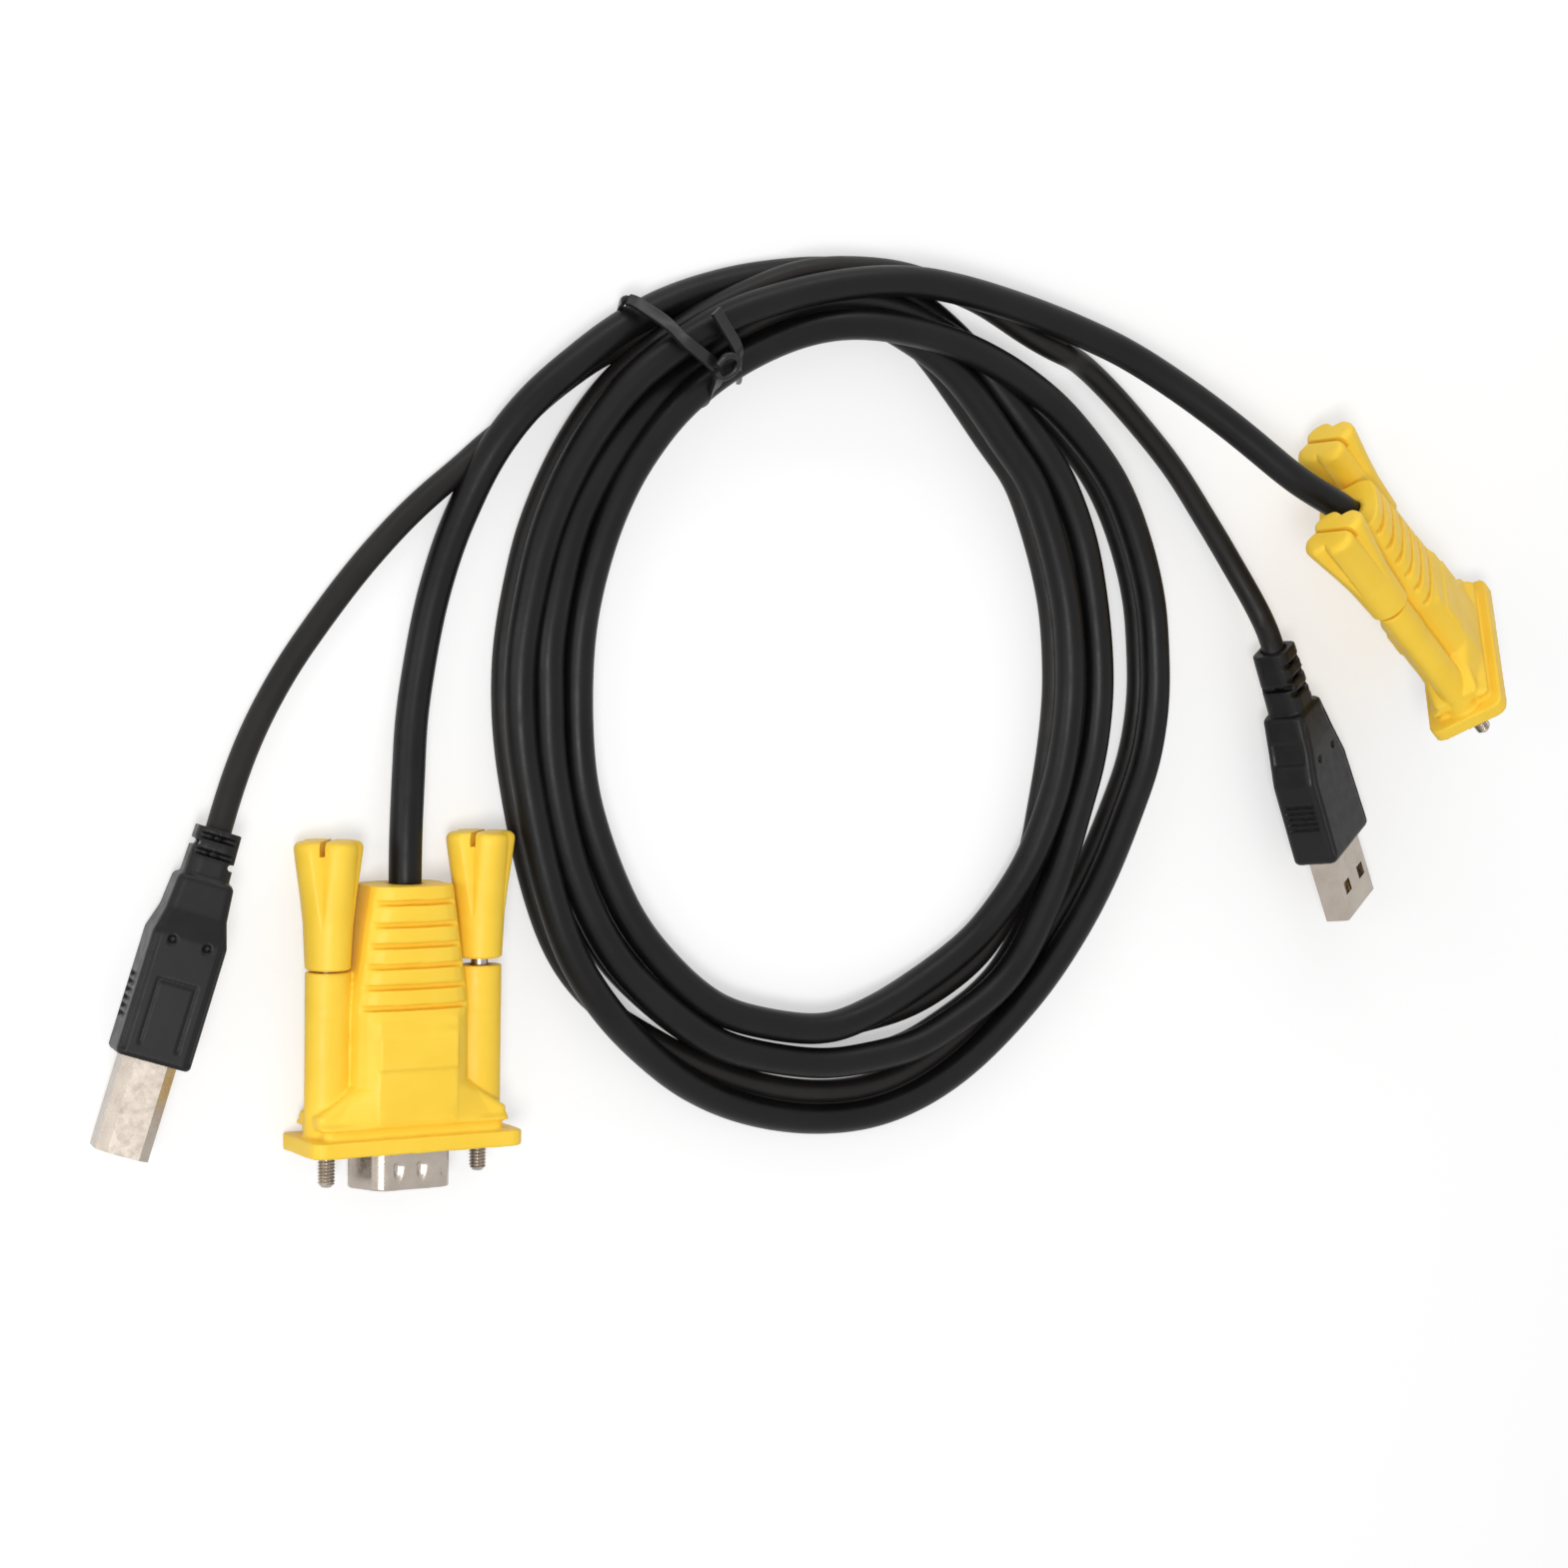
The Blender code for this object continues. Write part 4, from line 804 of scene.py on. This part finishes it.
def shape_usb_a(points):
    """A raised rib along each upper edge, a waisted side band, finger grooves and two dots."""
    x, y, z = points.T
    out = points.copy()
    half = np.interp(-z, [0.6, 15.0, 20.5, 26.3], [8.0, 7.5, 5.8, 4.7])
    top = ease(y, 3.4, 3.8)
    out[:, 1] -= top * 0.6 * dots(x, z, ((-2.8, -17.9), (2.8, -17.9)), 0.7)
    edge = groove(half - np.abs(x), (1.2,), 0.5)
    along = ease(-z, 1.0, 1.8) * (1 - ease(-z, 24.0, 25.5))
    out[:, 1] -= np.sign(y) * 0.22 * edge * ease(np.abs(y), 3.4, 3.8) * along
    sides = 1 - ease(half - np.abs(x), 0.35, 0.7)
    flat = 1 - ease(np.abs(y), 2.6, 3.1)
    out[:, 0] -= np.sign(x) * 0.55 * sides * flat * groove(z, (-11.1, -10.05, -9.0, -7.95, -6.9), 0.38)
    band = ease(-z, 18.4, 18.8) * (1 - ease(-z, 22.2, 22.6))
    out[:, 0] -= np.sign(x) * 0.4 * sides * flat * band
    return closed_bore(out, 2.6, 1.9, -20.0)


def add_overmoulds():
    return {
        "kvm_usb_b": softened("kvm_usb_b_overmould", "kvm_usb_b_moulding", OVERMOULD_VOXEL, 2, "black_mould",
                              "cable", "kvm_usb_b", shape_usb_b),
        "pc_usb_a": softened("pc_usb_a_overmould", "pc_usb_a_moulding", OVERMOULD_VOXEL, 2, "black_mould",
                             "cable", "pc_usb_a", shape_usb_a),
    }


# The wire tie: a flat strip over the strands, its free end, the hook over the inner edge and the knot
TIE_STRIPS = (
    ((-30.4, 75.2, 1.4), (-31.7, 76.5, 5.0), (-31.3, 76.9, 7.4), (-29.7, 75.6, 9.0), (-26.9, 73.3, 10.9),
     (-25.1, 70.7, 13.0), (-22.3, 68.6, 13.4), (-19.5, 66.9, 12.4)),
    ((-9.8, 65.0, 2.5), (-10.8, 65.5, 5.0), (-13.3, 66.9, 9.5), (-15.2, 68.5, 12.4), (-16.5, 70.1, 13.6),
     (-18.3, 72.4, 14.0), (-19.8, 74.4, 14.2), (-20.4, 75.3, 14.3)),
    ((-19.5, 66.9, 12.4), (-18.5, 65.1, 11.6), (-18.2, 63.2, 9.6), (-17.6, 61.6, 6.5), (-17.9, 60.6, 3.0)),
)
TIE_LOOP = ((-19.5, 67.2, 13.4), (-18.5, 68.5, 14.2), (-16.5, 68.2, 14.0), (-16.0, 66.8, 13.2),
            (-16.9, 65.6, 12.6), (-18.3, 65.1, 12.2), (-19.6, 66.2, 13.0))
TIE_WIDTH = 2.1
TIE_THICKNESS = 0.8


def add_strip(shape, path, width, thickness):
    """A flat strip with rounded edges; its broad side faces up where it can."""
    tangents = np.gradient(path, axis=0)
    tangents /= np.linalg.norm(tangents, axis=1)[:, None]
    side = np.cross(tangents, (0.25, 0.1, 1.0))
    side /= np.linalg.norm(side, axis=1)[:, None]
    up = np.cross(side, tangents)
    turn = np.linspace(0.0, math.tau, 20, endpoint=False)
    across = np.sign(np.cos(turn)) * np.abs(np.cos(turn)) ** 0.6 * width / 2 * MM
    rise = np.sign(np.sin(turn)) * np.abs(np.sin(turn)) ** 0.6 * thickness / 2 * MM
    rise = rise + 0.3 * thickness / 2 * MM * np.cos(2 * turn) * np.sign(rise)
    add_rings(shape, path[:, None, :] + across[None, :, None] * side[:, None, :]
              + rise[None, :, None] * up[:, None, :])


def add_tie():
    shape = bmesh.new()
    for strip in TIE_STRIPS:
        add_strip(shape, world(relaxed(spaced(smooth(strip), 0.4), 3)), TIE_WIDTH, TIE_THICKNESS)
    loop = world(relaxed(spaced(smooth(TIE_LOOP), 0.3), 2))
    add_tube(shape, loop, 0.55 * MM, 12)
    make_piece("wire_tie", shape, "tie", "cable", ("twist_tie",), 45.0)


def dress_nodes():
    """Gives each node that is still shown its own finish."""
    finishes = (("shell", "nickel"), ("screw", "screw"), ("contact", "gold"), ("pin_block", "insulator"),
                ("insert", "natural"), ("tongue", "natural"), ("inner_mould", "natural"), ("clamp", "nickel"),
                ("tie", "tie"))
    for key, node in frame["nodes"].items():
        for word, material in finishes:
            if word in key and "knob" not in key:
                node.data.materials.clear()
                node.data.materials.append(MATERIALS[material])
                break


# Stage, lamps and camera

# Half the floor's width in metres, its own brightness where it is seen, and the world's light
FLOOR_REACH = 3.0
FLOOR_GLOW = 0.46
WORLD_LIGHT = 0.45


def seen_directly(tree):
    """1 for camera, glossy and transmission rays, else 0."""
    rays = tree.nodes.new("ShaderNodeLightPath")
    total = rays.outputs["Is Camera Ray"]
    for kind in ("Is Glossy Ray", "Is Transmission Ray"):
        either = tree.nodes.new("ShaderNodeMath")
        either.operation = "MAXIMUM"
        tree.links.new(total, either.inputs[0])
        tree.links.new(rays.outputs[kind], either.inputs[1])
        total = either.outputs[0]
    return total


def strength_of(tree, low, high):
    """A strength that is high for what is seen directly and low for the light that is cast."""
    node = tree.nodes.new("ShaderNodeMapRange")
    node.inputs["To Min"].default_value = low
    node.inputs["To Max"].default_value = high
    tree.links.new(seen_directly(tree), node.inputs["Value"])
    return node.outputs["Result"]


def add_stage():
    mesh = bpy.data.meshes.new("studio_floor")
    shape = bmesh.new()
    corners = [shape.verts.new((x * FLOOR_REACH, y * FLOOR_REACH, 0.0))
               for x, y in ((-1, -1), (1, -1), (1, 1), (-1, 1))]
    shape.faces.new(corners)
    shape.to_mesh(mesh)
    shape.free()
    floor = bpy.data.objects.new("studio_floor", mesh)
    bpy.context.scene.collection.objects.link(floor)
    material = bpy.data.materials.new("studio_white")
    material.use_nodes = True
    shader = material.node_tree.nodes["Principled BSDF"]
    shader.inputs["Base Color"].default_value = (0.62, 0.62, 0.62, 1.0)
    shader.inputs["Roughness"].default_value = 0.9
    shader.inputs["Specular IOR Level"].default_value = 0.1
    shader.inputs["Emission Color"].default_value = (1.0, 1.0, 1.0, 1.0)
    glow = strength_of(material.node_tree, 0.0, FLOOR_GLOW)
    material.node_tree.links.new(glow, shader.inputs["Emission Strength"])
    mesh.materials.append(material)

    backdrop = bpy.data.worlds.new("studio")
    bpy.context.scene.world = backdrop
    backdrop.use_nodes = True
    surface = backdrop.node_tree.nodes["Background"]
    surface.inputs["Color"].default_value = (1.0, 1.0, 1.0, 1.0)
    glow = strength_of(backdrop.node_tree, WORLD_LIGHT, 1.0)
    backdrop.node_tree.links.new(glow, surface.inputs["Strength"])


def add_lamp(name, place, target, size, power):
    lamp = bpy.data.lights.new(name, "AREA")
    lamp.shape = "RECTANGLE"
    lamp.size, lamp.size_y = size
    lamp.energy = power
    holder = bpy.data.objects.new(name, lamp)
    bpy.context.scene.collection.objects.link(holder)
    holder.location = place
    toward = Vector(target) - Vector(place)
    holder.rotation_euler = toward.to_track_quat("-Z", "Y").to_euler()


def add_lamps():
    add_lamp("key_softbox", (-0.5, -0.12, 0.86), (0.0, 0.0, 0.0), (0.24, 0.24), 4.2)
    add_lamp("side_softbox", (-0.95, 0.1, 0.3), (0.0, 0.0, 0.0), (0.25, 0.8), 2.2)
    add_lamp("back_softbox", (0.0, 0.95, 0.42), (0.0, 0.0, 0.0), (1.1, 0.3), 3.0)


def add_camera():
    camera = bpy.data.cameras.new("photo_camera")
    camera.lens = 84.9
    camera.sensor_width = 36.0
    camera.clip_start = 0.01
    holder = bpy.data.objects.new("photo_camera", camera)
    bpy.context.scene.collection.objects.link(holder)
    right = Vector((0.86304, 0.0, 0.50513))
    up = Vector((0.05854, 0.99326, -0.10003))
    back = Vector((-0.50173, 0.11590, 0.85723))
    matrix = Matrix((right, up, back)).transposed().to_4x4()
    matrix.translation = (-0.3087, 0.0580, 0.5100)
    holder.matrix_world = matrix
    bpy.context.scene.camera = holder


add_camera()
plugs = {**add_hoods(), **add_overmoulds()}
add_knobs()
add_shells()
add_pin_blocks()
add_usb_a_shell()
add_cords()
add_tie()
dress_nodes()
add_stage()
add_lamps()
bpy.context.scene.view_settings.view_transform = "Standard"
